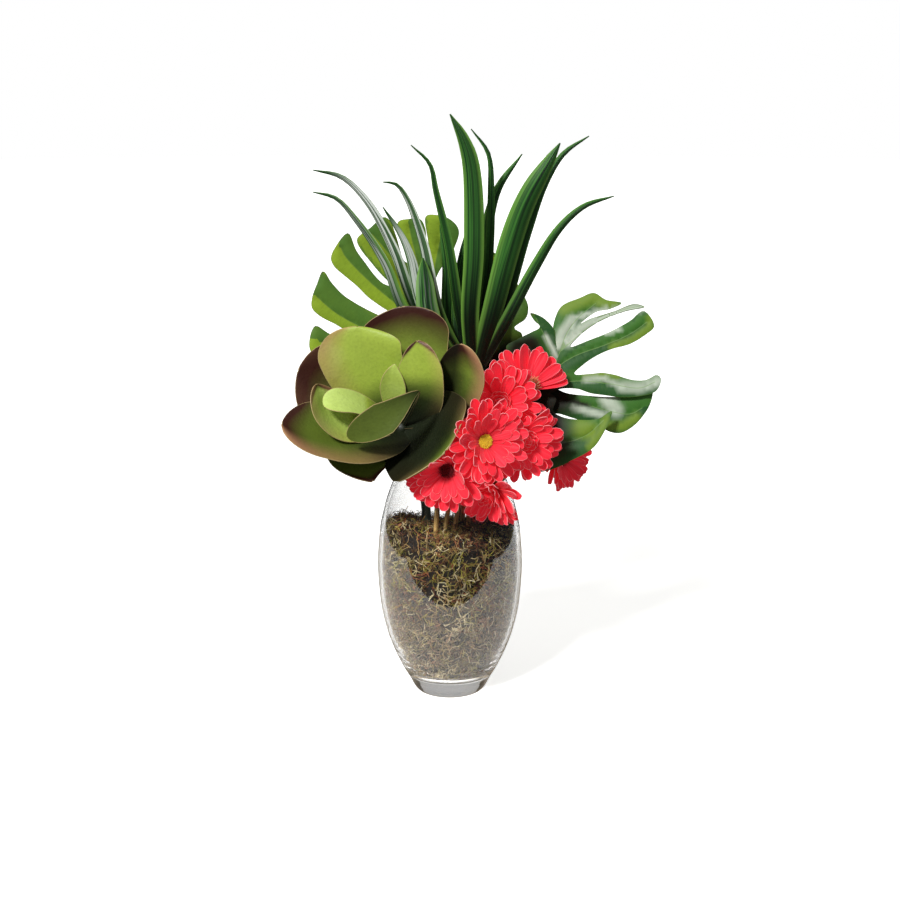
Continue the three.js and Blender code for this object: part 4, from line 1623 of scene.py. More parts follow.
@dataclass
class SwordTuft:
    """The tuft of sword-shaped leaves on one crown and stem, in millimetres."""

    crown_at: Point = (474, 378, 12)
    crown_profile: Outline = path("0,-16 6,-16 14,-4 15,10 8,20 0,22")
    channel: float = 0.34
    thick: float = 1.1
    steps: int = 36
    outline: Outline = path("0,0.7 0.3,1 0.55,0.86 0.75,0.6 0.9,0.32 1,0.03")
    full_outline: Outline = path("0,0.65 0.3,0.92 0.55,1 0.8,0.84 0.92,0.48 1,0.03")
    stem_mouth: Place = (12, 14)
    stem_foot: Place = (10, 14)
    stem_sunk: float = 8.0
    sharp: float = 70.0
    blades: tuple[SwordLeaf, ...] = (
        SwordLeaf(path("408,316,6 385,262,0 356,219,-8 336,198,-12 313,192,-14"), 15, -40, 0.55, 0.45),
        SwordLeaf(path("418,310,16 394,249,10 368,202,4 342,177,0 313,170,-4"), 15, -35, 0.3, 0.8),
        SwordLeaf(path("440,316,2 423,241,-4 407,198,-8 396,184,-12 383,182,-16"), 15, -30, 0.3, 0.75),
        SwordLeaf(path("424,308,-2 411,258,-8 402,236,-12 383,207,-16"), 15, -20, 0.3, 0.6),
        SwordLeaf(path("440,345,-4 428,310,-12 425,285,-14 423,258,-16"), 23, 0, 0.7, 0.1, full=True),
        SwordLeaf(path("460,316,8 449,245,0 436,190,-6 430,164,-8 411,145,-10"), 12, -25, 0.4),
        SwordLeaf(path("470,316,0 474,250,-6 471,165,-10 463,138,-12 450,114,-14"), 21, -5, 0.65, full=True),
        SwordLeaf(path("483,316,16 489,249,14 491,190,12 488,153,10 471,129,8"), 11, 10, 0.2),
        SwordLeaf(path("480,316,24 485,240,30 497,190,34 522,154,36"), 19, 25, 0.4),
        SwordLeaf(path("491,316,2 511,240,-6 527,198,-10 560,143,-12"), 25, 15, 0.5, full=True),
        SwordLeaf(path("502,310,14 526,232,14 545,182,14 564,153,14 589,136,14"), 15, 20, 0.35),
        SwordLeaf(path("505,322,4 535,266,0 560,227,-4 584,206,-6 614,196,-8"), 15, 30, 0.35),
        SwordLeaf(path("449,335,18 447,305,20 446,265,22 440,225,24"), 13, 0),
        SwordLeaf(path("459,335,12 458,295,16 462,258,20 472,215,24"), 13, 0),
        SwordLeaf(path("466,330,30 468,270,50 473,220,68 475,182,88"), 16, 0),
        SwordLeaf(path("490,335,28 501,285,50 512,245,74 523,206,98"), 16, 10),
    )

    def blade(self, blade: SwordLeaf, shade: float) -> Shape:
        """Shapes one blade: a ribbon folded along its middle, tapering to a point.

        Args:
            blade: the blade.
            shade: a number from 0 to 1 that sets it apart from the others.

        Returns:
            Its solid.
        """
        line = evenly(curve_through([VIEW.seen(*p) for p in (self.crown_at, *blade.points)]), self.steps)
        ways = unit(np.gradient(line, axis=0))
        wide = unit(np.cross(np.array(facing(blade.azimuth, 0)), ways))
        front = np.cross(ways, wide)
        s = np.linspace(0, 1, len(line))
        half = eased(self.full_outline if blade.full else self.outline, s) * blade.width / 2 * MM
        t = np.array([-1, -0.66, -0.33, -0.12, 0, 0.12, 0.33, 0.66, 1])
        depth = 2 * self.channel * (np.sqrt(1.02 - np.abs(t) ** 1.6 * 0.98) - 0.14)
        half = half[:, None]
        folded = front[:, None] * (half * depth)[..., None]
        grid = line[:, None] + wide[:, None] * (half * t)[..., None] + folded
        values = {"along": s[:, None], "across": t[None]}
        looks = {"lime": blade.lime, "shade": shade, "frost": blade.frost}
        values.update({key: np.full((1, 1), number) for key, number in looks.items()})
        return sheet(grid, values, flip=True).thickened(self.thick * MM)

    def build(self) -> None:
        """Builds the tuft."""
        centre = VIEW.seen(*self.crown_at)
        crown = turned(self.crown_profile, 24).moved(Matrix.Translation(centre))
        blades = [self.blade(blade, i / len(self.blades)) for i, blade in enumerate(self.blades)]
        # the crown is painted fully in shade
        mesh = together([crown.with_values(along=0.0), *blades]).mesh("sword_blades", self.sharp)
        add_piece("sword_blades", mesh, Blade("sword_leaf"), "sword_leaf", "sword_leaves")
        top = tuple((centre + Vector((0, 0, -self.stem_sunk * MM))) / MM)
        ThickStem(top, self.stem_mouth, self.stem_foot).build("sword_stem", "sword_leaf")


# ---------------- monstera leaves


def distance_to_lines(
    points: Array, lines: Sequence[Array]
) -> tuple[Array, Array, Array]:
    """How far points are from the nearest of some lines, how far along it, and on which side.

    Args:
        points: the points, in two dimensions.
        lines: each a row of points.

    Returns:
        For each point, the distance to the nearest line, the length along it, and 1 or -1 for its side.
    """
    best = np.full(len(points), FAR)
    along = np.zeros(len(points))
    side = np.ones(len(points))
    for line in lines:
        start = 0.0
        for a, b in zip(line, line[1:]):
            way = b - a
            length = float(np.linalg.norm(way))
            t = np.clip((points - a) @ way / length**2, 0, 1)
            far = np.linalg.norm(points - a - t[:, None] * way, axis=1)
            closer = far < best
            best[closer] = far[closer]
            along[closer] = start + t[closer] * length
            cross = way[1] * (points[:, 0] - a[0]) - way[0] * (points[:, 1] - a[1])
            side[closer] = np.sign(cross)[closer]
            start += length
    return best, along, side


Stroke = tuple[float, Outline]


@dataclass
class MonsteraPiece:
    """One piece of a cut leaf, on the front view: where it lies, its outline and its veins.

    Its sunny strokes, its pale strokes of painted sheen and its shaded strokes of painted shade are each a
    half width and a line on the view.
    """

    at: Place
    depth: float
    slope: Place
    bow: float
    outline: Outline
    veins: tuple[Outline, ...]
    sunny: tuple[Stroke, ...] = ()
    pale: tuple[Stroke, ...] = ()
    shaded: tuple[Stroke, ...] = ()

    def depth_at(self, u: Array, v: Array) -> Array:
        """The depth of the surface at places on the view."""
        right, low = u - self.at[0], v - self.at[1]
        return self.depth + self.slope[0] * right + self.slope[1] * low + self.bow * (right**2 + low**2) / 100


def brushed(strokes: Sequence[Stroke], places: Array) -> Array:
    """Finds how strongly soft strokes show.

    Args:
        strokes: the strokes.
        places: places on the view.

    Returns:
        How strongly they show at each place.
    """
    total = np.zeros(len(places))
    for wide, line in strokes:
        away = distance_to_lines(places, [np.array(line, float)])[0] / wide
        total = np.maximum(total, np.clip(1.5 - away, 0, 1))
    return total


@dataclass
class MonsteraLeaf:
    """A whole cut leaf: its pieces and its stalk. Its mesh's spacings are in units of the view."""

    node: str
    finish: Monstera
    pieces: tuple[MonsteraPiece, ...]
    stalk: tuple[Point, Place, Place]
    step: float = 3.4
    edge_step: float = 2.4
    edge_gap: float = 1.6
    vein_step: float = 3.5
    vein_gap: float = 1.53
    vein_edge_gap: float = 0.7
    thick: float = 1.1
    puff: float = 1.6
    groove: float = 1.0
    apart: float = 6.0
    unit_mm: float = 1.1  # about how many millimetres a unit of the view is on the leaf
    stalk_radius: float = 2.4
    sharp: float = 60.0

    def places(self, edge: Array, veins: Sequence[Array]) -> Array:
        """Spreads the points of a piece's mesh over it.

        Args:
            edge: its closed outline.
            veins: its veins.

        Returns:
            The points on the view, with those of the outline first.
        """
        closed = [np.vstack([edge, edge[:1]])]
        low, high = edge.min(0), edge.max(0)
        us, vs = np.meshgrid(np.arange(low[0], high[0], self.step), np.arange(low[1], high[1], self.step))
        us[::2] += self.step / 2
        inner = np.stack([us.ravel(), vs.ravel()], 1)
        to_edge, to_vein = (distance_to_lines(inner, lines)[0] for lines in (closed, veins))
        inner = inner[(to_edge > self.edge_gap) & (to_vein > self.vein_gap)]
        lengths = [np.linalg.norm(np.diff(line, axis=0), axis=1).sum() for line in veins]
        spine = [evenly(line, max(3, int(long / self.vein_step))) for line, long in zip(veins, lengths)]
        spine = np.vstack(spine)
        clear = distance_to_lines(spine, closed)[0] > self.vein_edge_gap
        return np.vstack([edge, inner, spine[clear]])

    def piece(self, piece: MonsteraPiece) -> Shape:
        """Shapes one piece: a bowed surface with sunk veins, cut to its outline.

        Args:
            piece: the piece.

        Returns:
            Its solid.
        """
        rough = curve_through(piece.outline, loop=True, steps=6)
        around = np.vstack([rough, rough[:1]])
        total = np.linalg.norm(np.diff(around, axis=0), axis=1).sum()
        edge = evenly(around, int(total / self.edge_step))[:-1]
        veins = [curve_through(line) if len(line) > 2 else np.array(line, float) for line in piece.veins]
        flat = [Vector((u, -v)) for u, v in self.places(edge, veins).tolist()]
        loop = list(range(len(edge)))[::-1]
        corners, _, faces, *_ = delaunay_2d_cdt(flat, [], [loop], 1, 1e-4)
        found = np.array([(p.x, -p.y) for p in corners])
        vein, along, side = distance_to_lines(found, veins)
        margin = distance_to_lines(found, [np.vstack([edge, edge[:1]])])[0]
        puff = self.puff * np.clip(vein / 9, 0, 1) ** 0.7 * np.clip(margin / 6, 0, 1) ** 0.5
        depth = piece.depth_at(found[:, 0], found[:, 1]) - puff + self.groove * np.clip(1 - vein / 1.5, 0, 1)
        points = np.array([VIEW.seen(u, v, d) for (u, v), d in zip(found.tolist(), depth.tolist())])
        values = {"vein": vein, "rib": along, "margin": margin}
        values = {key: numbers * self.unit_mm for key, numbers in values.items()}
        each = [distance_to_lines(found, [line])[0] for line in veins]
        nearest = np.sort([*each, np.full(len(found), FAR)], axis=0)
        values.update(side=side * vein, apart=np.clip((nearest[1] - nearest[0]) / self.apart, 0, 1))
        values.update({key: brushed(getattr(piece, key), found) for key in ("sunny", "pale", "shaded")})
        return Shape(points, [tuple(f) for f in faces], values).thickened(self.thick * MM)

    def build(self) -> None:
        """Builds the leaf."""
        name, slot = self.node + "_leaf", self.finish.name
        mesh = together([self.piece(piece) for piece in self.pieces]).mesh(name, self.sharp)
        add_piece(name, mesh, self.finish, slot, self.node)
        at, mouth, foot = self.stalk
        stem = Stem(tuple(VIEW.seen(*at) / MM), mouth, foot, self.stalk_radius)
        finish = StemFinish(slot + "_stalk", 0x5A7030, 0x4A5A2C)
        add_piece(name + "_stalk", stem.shape().mesh(name + "_stalk"), finish, slot)


def monstera_leaves() -> list[MonsteraLeaf]:
    """Lays out the three cut leaves.

    Returns:
        The leaves.
    """
    left = MonsteraPiece(
        (425, 325), 56, (0.05, -0.12), -0.08,
        path(
            "315,326 330,334 360,343 395,343 375,338 348,331 335,324 320,316 312,308 312,298 317,284 "
            "323,271 331,282 342,294 355,303 378,315 404,326 394,315 382,307 368,297 357,286 345,276 "
            "334,266 331,258 336,246 348,233 356,250 366,264 376,277 384,284 392,286 380,273 370,261 "
            "360,248 357,239 370,228 384,217 390,221 396,236 405,262 409,262 402,240 398,222 408,219 "
            "420,219 425,228 427,250 429,262 431,262 428,240 426,216 437,215 448,218 457,226 459,233 "
            "455,246 450,256 440,270 434,286 437,300 446,296 462,290 466,304 456,318 440,330 432,345 "
            "420,352 404,352 380,362 350,366 326,362 310,350"
        ),
        (
            path("430,345 400,341 370,331 336,313 317,297"),
            path("425,335 405,312 370,282 345,256 341,248"),
            path("428,330 412,290 390,255 372,234"),
            path("430,330 422,280 412,240 409,226"),
            path("432,330 433,280 440,240 443,222"),
            path("430,345 390,354 350,352 322,342"),
            path("432,325 450,306 458,298"),
        ),
    )
    right = MonsteraPiece(
        (556, 365), 12, (-0.12, -0.3), 0.05,
        path(
            "540,385 548,366 556,348 553,330 556,316 562,306 580,298 594,293 606,300 622,303 610,309 "
            "596,312 580,324 590,319 615,311 634,304 645,307 626,311 600,321 580,335 570,347 590,340 "
            "610,332 630,321 643,311 651,318 654,327 645,335 630,344 612,349 598,355 584,364 574,374 "
            "590,374 602,373 615,375 632,380 646,380 657,375 661,379 656,391 640,396 620,397 604,395 "
            "590,393 578,389 560,389 548,394"
        ),
        (
            path("545,385 556,362 566,335 578,318 596,303"),
            path("560,352 590,326 620,311 640,306"),
            path("552,370 575,356 605,345 630,334 647,322"),
            path("546,385 580,381 610,384 640,388 655,382"),
        ),
        sunny=(
            (7, path("564,308 580,301 594,297 606,303 620,304")),
            (4, path("650,318 650,328 632,341 612,347")), (3, path("585,375 602,374 618,376")),
        ),
        pale=(
            (5, path("558,345 563,332 572,320")), (2.5, path("572,318 590,314 606,309")),
            (5, path("568,342 582,328 600,318 622,311 644,306")),
            (2.2, path("606,334 620,329")), (5.5, path("622,387 640,387 658,381")),
            (2.5, path("585,380 604,379 622,386")),
        ),
        shaded=((14, path("540,392 550,392")),),
    )
    under = MonsteraPiece(
        (556, 365), 20, (-0.12, -0.3), 0.05,
        path(
            "528,384 544,390 556,389 566,393 590,396 615,397 635,395 652,390 650,404 642,417 632,427 "
            "620,433 608,431 598,424 586,422 570,417 558,413.5 546,414 534,408 528,396"
        ),
        (path("536,394 560,399 580,403 605,410 630,414 642,408"),),
        sunny=((5, path("608,427 624,426 636,418")),),
        pale=((7, path("606,398 616,410")), (3.5, path("574,407 590,412 602,415"))),
        shaded=((20, path("530,394 556,398")), (2, path("566,401 588,405"))),
    )
    lobe = MonsteraPiece(
        (545, 392), 5, (-0.22, -0.36), -0.04,
        path(
            "540,392 556,398 553,411 562,417 580,420 598,419 612,411 609,422 603,434 595,446 586,453 "
            "572,460 558,467 540,472 528,470 532,440 534,410"
        ),
        (path("541,398 545,430 560,442 585,436 604,420"),),
        sunny=((9, path("580,428 590,431")), (4, path("606,418 600,434 590,447"))),
        shaded=((20, path("548,398 550,424 552,440")),),
    )
    near = MonsteraPiece(
        (548, 350), 16, (0.1, -0.2), 0,
        path(
            "560,352 556,345 554,330 548,322 540,316 530,313 534,320 540,327 532,332 520,338 506,347 "
            "512,356 526,362 540,366 548,374"
        ),
        (path("552,360 546,340 536,318"), path("548,360 530,348 518,346")),
        pale=((2.5, path("546,336 553,350 556,356")),),
        shaded=((12, path("518,350 530,346")),),
    )
    back = MonsteraPiece(
        (510, 320), 64, (0.1, -0.2), 0,
        path(
            "482,352 486,320 486,290 490,262 493,252 502,262 512,276 522,292 528,306 526,318 514,328 "
            "522,334 519,348 512,364 498,370 484,368"
        ),
        (path("500,342 500,310 498,280 496,262"), path("502,330 515,310 520,298")),
        shaded=((16, path("484,366 500,360 514,352")),),
    )
    olive = Monstera("monstera_olive")
    green = Monstera("monstera_green", 0x3E7029, 0x245024, 0x58762C, 0x7A9A5A, 0x6E8A2A, 0.56)
    right_stalk = ((547, 372, 12), (36, 24), (28, 20))
    return [
        MonsteraLeaf("monstera_left", olive, (left,), ((426, 326, 58), (-16, 26), (-14, 22))),
        MonsteraLeaf("monstera_right", green, (right, under, lobe, near), right_stalk),
        MonsteraLeaf("monstera_back", olive, (back,), ((500, 338, 62), (14, 36), (10, 32))),
    ]


# ---------------- gerberas


@dataclass(frozen=True)
class EyeForm:
    """The middle of a flower: its finish and slot, and its florets' number and sizes in millimetres.

    The florets stand on a dome of this radius, and splay outwards from its middle.
    """

    finish: Finish
    slot: str
    count: int
    radius: float
    long: float
    dome: float
    thick: float
    splay: float


class Eye(Enum):
    """How the middle of a flower looks."""

    BUTTON = EyeForm(Floret("eye_yellow", 0xD8A018, 0xFFE440), "disc_yellow", 150, 7.4, 2.2, 1.5, 1.25, 0.2)
    FRINGE = EyeForm(Floret("eye_tan", 0xB4703A, 0xF4D094), "disc_tan", 110, 6.6, 12.0, 1.2, 0.8, 0.9)
    DARK = EyeForm(Floret("eye_dark", 0x4A0A10, 0x9A2028), "disc_red", 120, 6.8, 4.5, 1.0, 0.9, 0.5)
    TUFT = EyeForm(Cloth("tuft_red"), "disc_red", 30, 6.4, 15.0, 1.4, 7.5, 1.0)


@dataclass
class PetalLayer:
    """One ring of petals, in millimetres and degrees."""

    count: int
    length: float
    width: float
    rise: float
    root: float
    lift: float
    step: float


@dataclass
class Gerbera:
    """One flower head: where it is seen, the way it faces, its eye and where its stem passes."""

    number: int
    at: Point
    azimuth: float
    elevation: float
    eye: Eye
    mouth: Place
    foot: Place
    share: float = 1.0
    via: tuple[Point, ...] = ()
    bare: Place | None = None
    ruffle: float = 1.3
    closed: float = 0.0
    rings: int = 5

    def axis(self) -> Vector:
        """The way the flower faces."""
        return facing(self.azimuth, self.elevation)

    def centre(self) -> Vector:
        """The middle of the flower."""
        return VIEW.seen(*self.at)

    def outward(self, turn: float) -> Vector:
        """Finds a way out from the middle.

        Args:
            turn: where it points, in degrees counter-clockwise from the right.

        Returns:
            The way.
        """
        axis = self.axis()
        up = Vector((0, 0, 1))
        right = (up - axis * up.dot(axis)).normalized().cross(axis)
        t = radians(turn)
        return right * cos(t) + axis.cross(right) * sin(t)

    def petal_transform(self, layer: PetalLayer, turn: float, rise: float, twist: float) -> Matrix:
        """The transform that puts a petal, made along +X with its front towards +Z, in its place.

        Args:
            layer: the petal's ring.
            turn: where in the ring it is, in degrees.
            rise: how far it stands up, in degrees.
            twist: how far it is turned about its own length, in degrees.

        Returns:
            The transform.
        """
        axis, outward = self.axis(), self.outward(turn)
        e = radians(rise)
        along = outward * cos(e) + axis * sin(e)
        inner = axis * cos(e) - outward * sin(e)
        wide = inner.cross(along)
        t = radians(twist)
        wide, inner = wide * cos(t) + inner * sin(t), inner * cos(t) - wide * sin(t)
        root = self.centre() + (outward * layer.root + axis * layer.lift) * MM
        return Matrix.Translation(root) @ Matrix((along, wide, inner)).transposed().to_4x4()


@dataclass(frozen=True)
class PetalForm:
    """How a petal of unit length is bent: the curl of its end, the ripple of its edges and its notch."""

    curl: float
    wave: float = 0.0
    notch: float = 0.0
    outline: Outline = path("0,0.24 0.22,0.55 0.45,0.82 0.7,1.0 0.88,0.93 0.955,0.74 1.0,0.42")

    def shape(self, fine: bool = True) -> Shape:
        """Shapes the petal, along +X with its front towards +Z.

        Args:
            fine: whether it is as fine as it is shown.

        Returns:
            Its surface, of unit length and unit width.
        """
        s = np.array([0, 0.22, 0.45, 0.66, 0.84, 0.955, 1.0] if fine else [0, 0.66, 1.0])[:, None]
        t = np.linspace(-1, 1, 5 if fine else 3)
        half = eased(self.outline, s) / 2
        end = np.clip((s - 0.8) / 0.2, 0, 1)
        x = s - 0.035 * end * t**2 - self.notch * end**3 * (1 - np.abs(t))
        hollow = 0.2 * half * t**2 * (0.4 + 0.6 * s)
        crease = -0.05 * half * np.cos(t * 2 * pi) * np.sin(pi * s)
        z = (hollow + crease) * 0.3 + self.curl * s**2.4 + self.wave * np.sin(5 * s + 2 * t) * s
        grid = np.stack(np.broadcast_arrays(x, half * t, z), -1)
        margin = np.minimum(half * 10 * (1 - np.abs(t)), (1 - s) * 42)
        return sheet(grid, {"along": s, "across": t[None], "margin": margin})


@dataclass
class Bouquet:
    """All the gerberas, whose petals are bent clear of each other and of the leaves."""

    thick: float = 0.7
    layers: tuple[PetalLayer, ...] = (
        PetalLayer(17, 46, 12.6, 11, 4, -1.5, 0.0),
        PetalLayer(17, 45, 12.2, 20, 4, -0.4, 0.5),
        PetalLayer(15, 37, 11.0, 34, 4, 0.8, 0.25),
        PetalLayer(13, 28, 9.0, 50, 4, 2.0, 0.6),
        PetalLayer(11, 18, 7.0, 66, 4.5, 3.0, 0.1),
        PetalLayer(9, 15, 6.0, 80, 3.0, 3.5, 0.4),
    )
    forms: tuple[PetalForm, ...] = (
        PetalForm(0.05, 0.01), PetalForm(-0.05, 0.014, 0.03), PetalForm(0.14, -0.012),
        PetalForm(0.0, 0.018, 0.04), PetalForm(0.1, 0.02, 0.02), PetalForm(-0.1, -0.016),
    )
    tuft_form: PetalForm = PetalForm(0.12, 0.01)
    plain_form: PetalForm = PetalForm(0.03)
    bends: tuple[int, ...] = (0, -6, 6, -12, 12, -20, 20, -30, 30, -42, -54, 42, 52)
    shrinks: tuple[float, ...] = (1.0, 0.78, 0.58)
    sharp: float = 60.0
    floret_sides: int = 5
    pad_profile: Outline = path("0,0 6,0 7.2,4 6.6,5.6 3,6 0,6.2")
    pad_height: float = 5.0
    stem_radius: float = 2.6
    stem_sunk: float = 8.0
    stem_straight: float = 26.0
    calyx_profile: Outline = path("0,-17 2.9,-15.5 4.4,-12.5 6.6,-9 8.4,-5 8.8,-2 6,-0.5 0,-0.4")
    heads: tuple[Gerbera, ...] = (
        Gerbera(4, (483, 441, -96), 25, 8, Eye.BUTTON, (8, -40), (-4, -34)),
        Gerbera(5, (448, 468, -102), -12, -14, Eye.DARK, (-10, -42), (-15, -36)),
        Gerbera(
            6, (493, 488, -82), -44, -30, Eye.TUFT, (20, -40), (6, -38), 0.92, ((33, -50, 270),), ruffle=2
        ),
        Gerbera(2, (499, 405, -40), 0, 18, Eye.TUFT, (20, -26), (14, -18), ruffle=2.6, closed=6, rings=6),
        Gerbera(3, (519, 439, -60), 30, 0, Eye.TUFT, (32, -30), (20, -30), ruffle=1.8, closed=8, rings=6),
        Gerbera(
            1, (526, 389, -14), 15, 30, Eye.FRINGE, (40, -8), (30, -4), bare=(270, 359), closed=6, rings=2
        ),
        Gerbera(
            7, (560, 457, 50), 46, -6, Eye.DARK, (41, 6), (36, 6), 0.82, ((60, 18, 282),), ruffle=0.6,
            closed=10, rings=3,
        ),
    )
    seed: int = 4

    def obstacles(self) -> list[BVHTree]:
        """Gathers what the petals keep clear of.

        Returns:
            The leaves, the vase, and the eyes and stems of the frame.
        """
        solid = [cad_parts[name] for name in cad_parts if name.endswith(("_disc", "_stem"))]
        kept = ("vase_blown", "rosette", "sword_blades", "monstera_left_leaf", "monstera_right_leaf")
        trees = []
        for piece in (*solid, *(bpy.data.objects[name] for name in kept)):
            corners = [v.co for v in piece.data.vertices]
            trees.append(BVHTree.FromPolygons(corners, [tuple(p.vertices) for p in piece.data.polygons]))
        return trees

    def petals(
        self, head: Gerbera, others: Sequence[BVHTree], draw: random.Random
    ) -> tuple[list[Spot], list[Shape]]:
        """Places the petals of a head.

        Args:
            head: the flower head.
            others: what they keep clear of.
            draw: the random numbers.

        Returns:
            Where they go, and their coarse surfaces.
        """
        spots, coarse = [], []
        plain = self.plain_form.shape(fine=False)
        loose = head.ruffle
        tries = [(shrink, bend) for shrink in self.shrinks for bend in self.bends]
        for layer in self.layers[: head.rings]:
            for index in range(layer.count):
                turn = 360 * (index + layer.step) / layer.count + draw.uniform(-3, 3) * loose
                rise = layer.rise + head.closed + draw.uniform(-4, 4) * loose
                twist = draw.uniform(-14, 14) * loose
                long = head.share * layer.length * draw.uniform(0.9, 1.02) * MM
                wide = head.share * layer.width * draw.uniform(0.92, 1.06) * MM
                kind, shade = draw.randrange(len(self.forms)), draw.random()
                if head.bare and head.bare[0] < turn % 360 < head.bare[1]:
                    continue
                for shrink, bend in tries:
                    transform = head.petal_transform(layer, turn, rise + bend, twist)
                    size = (long * shrink, wide * shrink**0.5, long * shrink)
                    shape = plain.moved(transform @ Matrix.Diagonal((*size, 1)))
                    tree = BVHTree.FromPolygons(shape.points.tolist(), shape.faces)
                    if not any(tree.overlap(other) for other in others):
                        spots.append(Spot(transform, size, kind, shade))
                        coarse.append(shape)
                        break
        return spots, coarse

    def build(self) -> None:
        """Builds every head, from the front to the back."""
        tree = scatter_tree()
        draw = random.Random(self.seed)
        kinds = [self.solid_petal(form) for form in self.forms]
        obstacles = self.obstacles()
        cloth = Cloth("petal_red")
        for head in self.heads:
            own = f"gerbera_{head.number}_"
            spots, coarse = self.petals(head, obstacles, draw)
            whole = together(coarse)
            obstacles.append(BVHTree.FromPolygons(whole.points.tolist(), whole.faces))
            mesh = scattered(own + "petals", spots, kinds, cloth, tree)
            mesh.set_sharp_from_angle(angle=radians(self.sharp))
            add_piece(own + "petals_cloth", mesh, cloth, "petal_red", own + "petals")
            self.build_eye(head, tree, draw)
            self.build_stem(head)

    def solid_petal(self, form: PetalForm) -> Shape:
        """Shapes a petal with its thickness, which is stretched with its length later.

        Args:
            form: how the petal is bent.

        Returns:
            Its solid, of unit length and unit width.
        """
        widest = self.layers[0]
        stretch = Matrix.Diagonal((1.0, widest.width / widest.length, 1.0, 1.0))
        return form.shape().moved(stretch).thickened(self.thick / widest.length).moved(stretch.inverted())

    def build_eye(self, head: Gerbera, tree: GeometryTree, draw: random.Random) -> None:
        """Builds the eye of a head: a pad, and small florets or strips of cloth in a spiral on it.

        Args:
            head: the flower head.
            tree: the tree that scatters.
            draw: the random numbers.
        """
        own = f"gerbera_{head.number}_"
        turn = turn_to(head.axis(), head.centre())
        form, upright = head.eye.value, Vector((0, 0, 1))
        if head.eye is Eye.TUFT:
            floret = self.solid_petal(self.tuft_form)
        else:
            line = np.array([(0, 0, 0), (0.45, 0, 0), (0.8, 0, 0), (1.0, 0, 0)], float)
            floret = tube(line, np.array([0.3, 0.5, 0.45, 0.1]), self.floret_sides)
        spots = []
        for i in range(form.count):
            share = (i + 0.5) / form.count
            spin = i * pi * (3 - sqrt(5))
            way = Vector((cos(spin), sin(spin), 0))
            lean = (way * form.splay * share + upright).normalized()
            height = self.pad_height + form.dome * (1 - share)
            place = way * (form.radius * sqrt(share)) + upright * height
            axes = Matrix((lean, upright.cross(way), lean.cross(upright.cross(way)))).transposed().to_4x4()
            high = form.long * draw.uniform(0.7, 1.1) * MM
            size = (high, form.thick * MM, high if head.eye is Eye.TUFT else form.thick * MM)
            spots.append(Spot(turn @ Matrix.Translation(place * MM) @ axes, size, 0, draw.random()))
        mesh = scattered(own + "eye", spots, [floret], form.finish, tree)
        pad = turned(self.pad_profile, 20).moved(turn).mesh(own + "pad")
        add_piece(own + "eye_florets", mesh, form.finish, form.slot, own + "disc")
        add_piece(own + "eye_pad", pad, form.finish, form.slot)

    def build_stem(self, head: Gerbera) -> None:
        """Builds the calyx and stem of a head.

        Args:
            head: the flower head.
        """
        axis, centre = head.axis(), head.centre() / MM
        top, straight = (tuple(centre - axis * down) for down in (self.stem_sunk, self.stem_straight))
        stem = Stem(top, head.mouth, head.foot, self.stem_radius, (straight, *head.via))
        calyx = turned(self.calyx_profile, 24).moved(turn_to(axis, head.centre()))
        name = f"gerbera_{head.number}_stalk"
        mesh = together([calyx.with_values(along=0.0), stem.shape()]).mesh(name)
        add_piece(name, mesh, StemFinish("gerbera_stem"), "gerbera_stem", f"gerbera_{head.number}_stem")


# ---------------- studio


def add_pointed(name: str, data: bpy.types.ID, place: Vector, way: Vector) -> Object:
    """Adds a lamp or camera to the scene.

    Args:
        name: its name.
        data: its light or camera.
        place: where it stands.
        way: where it points.

    Returns:
        The lamp or camera.
    """
    made = add_object(name, data)
    made.location = place
    made.rotation_euler = way.to_track_quat("-Z", "Y").to_euler()
    return made


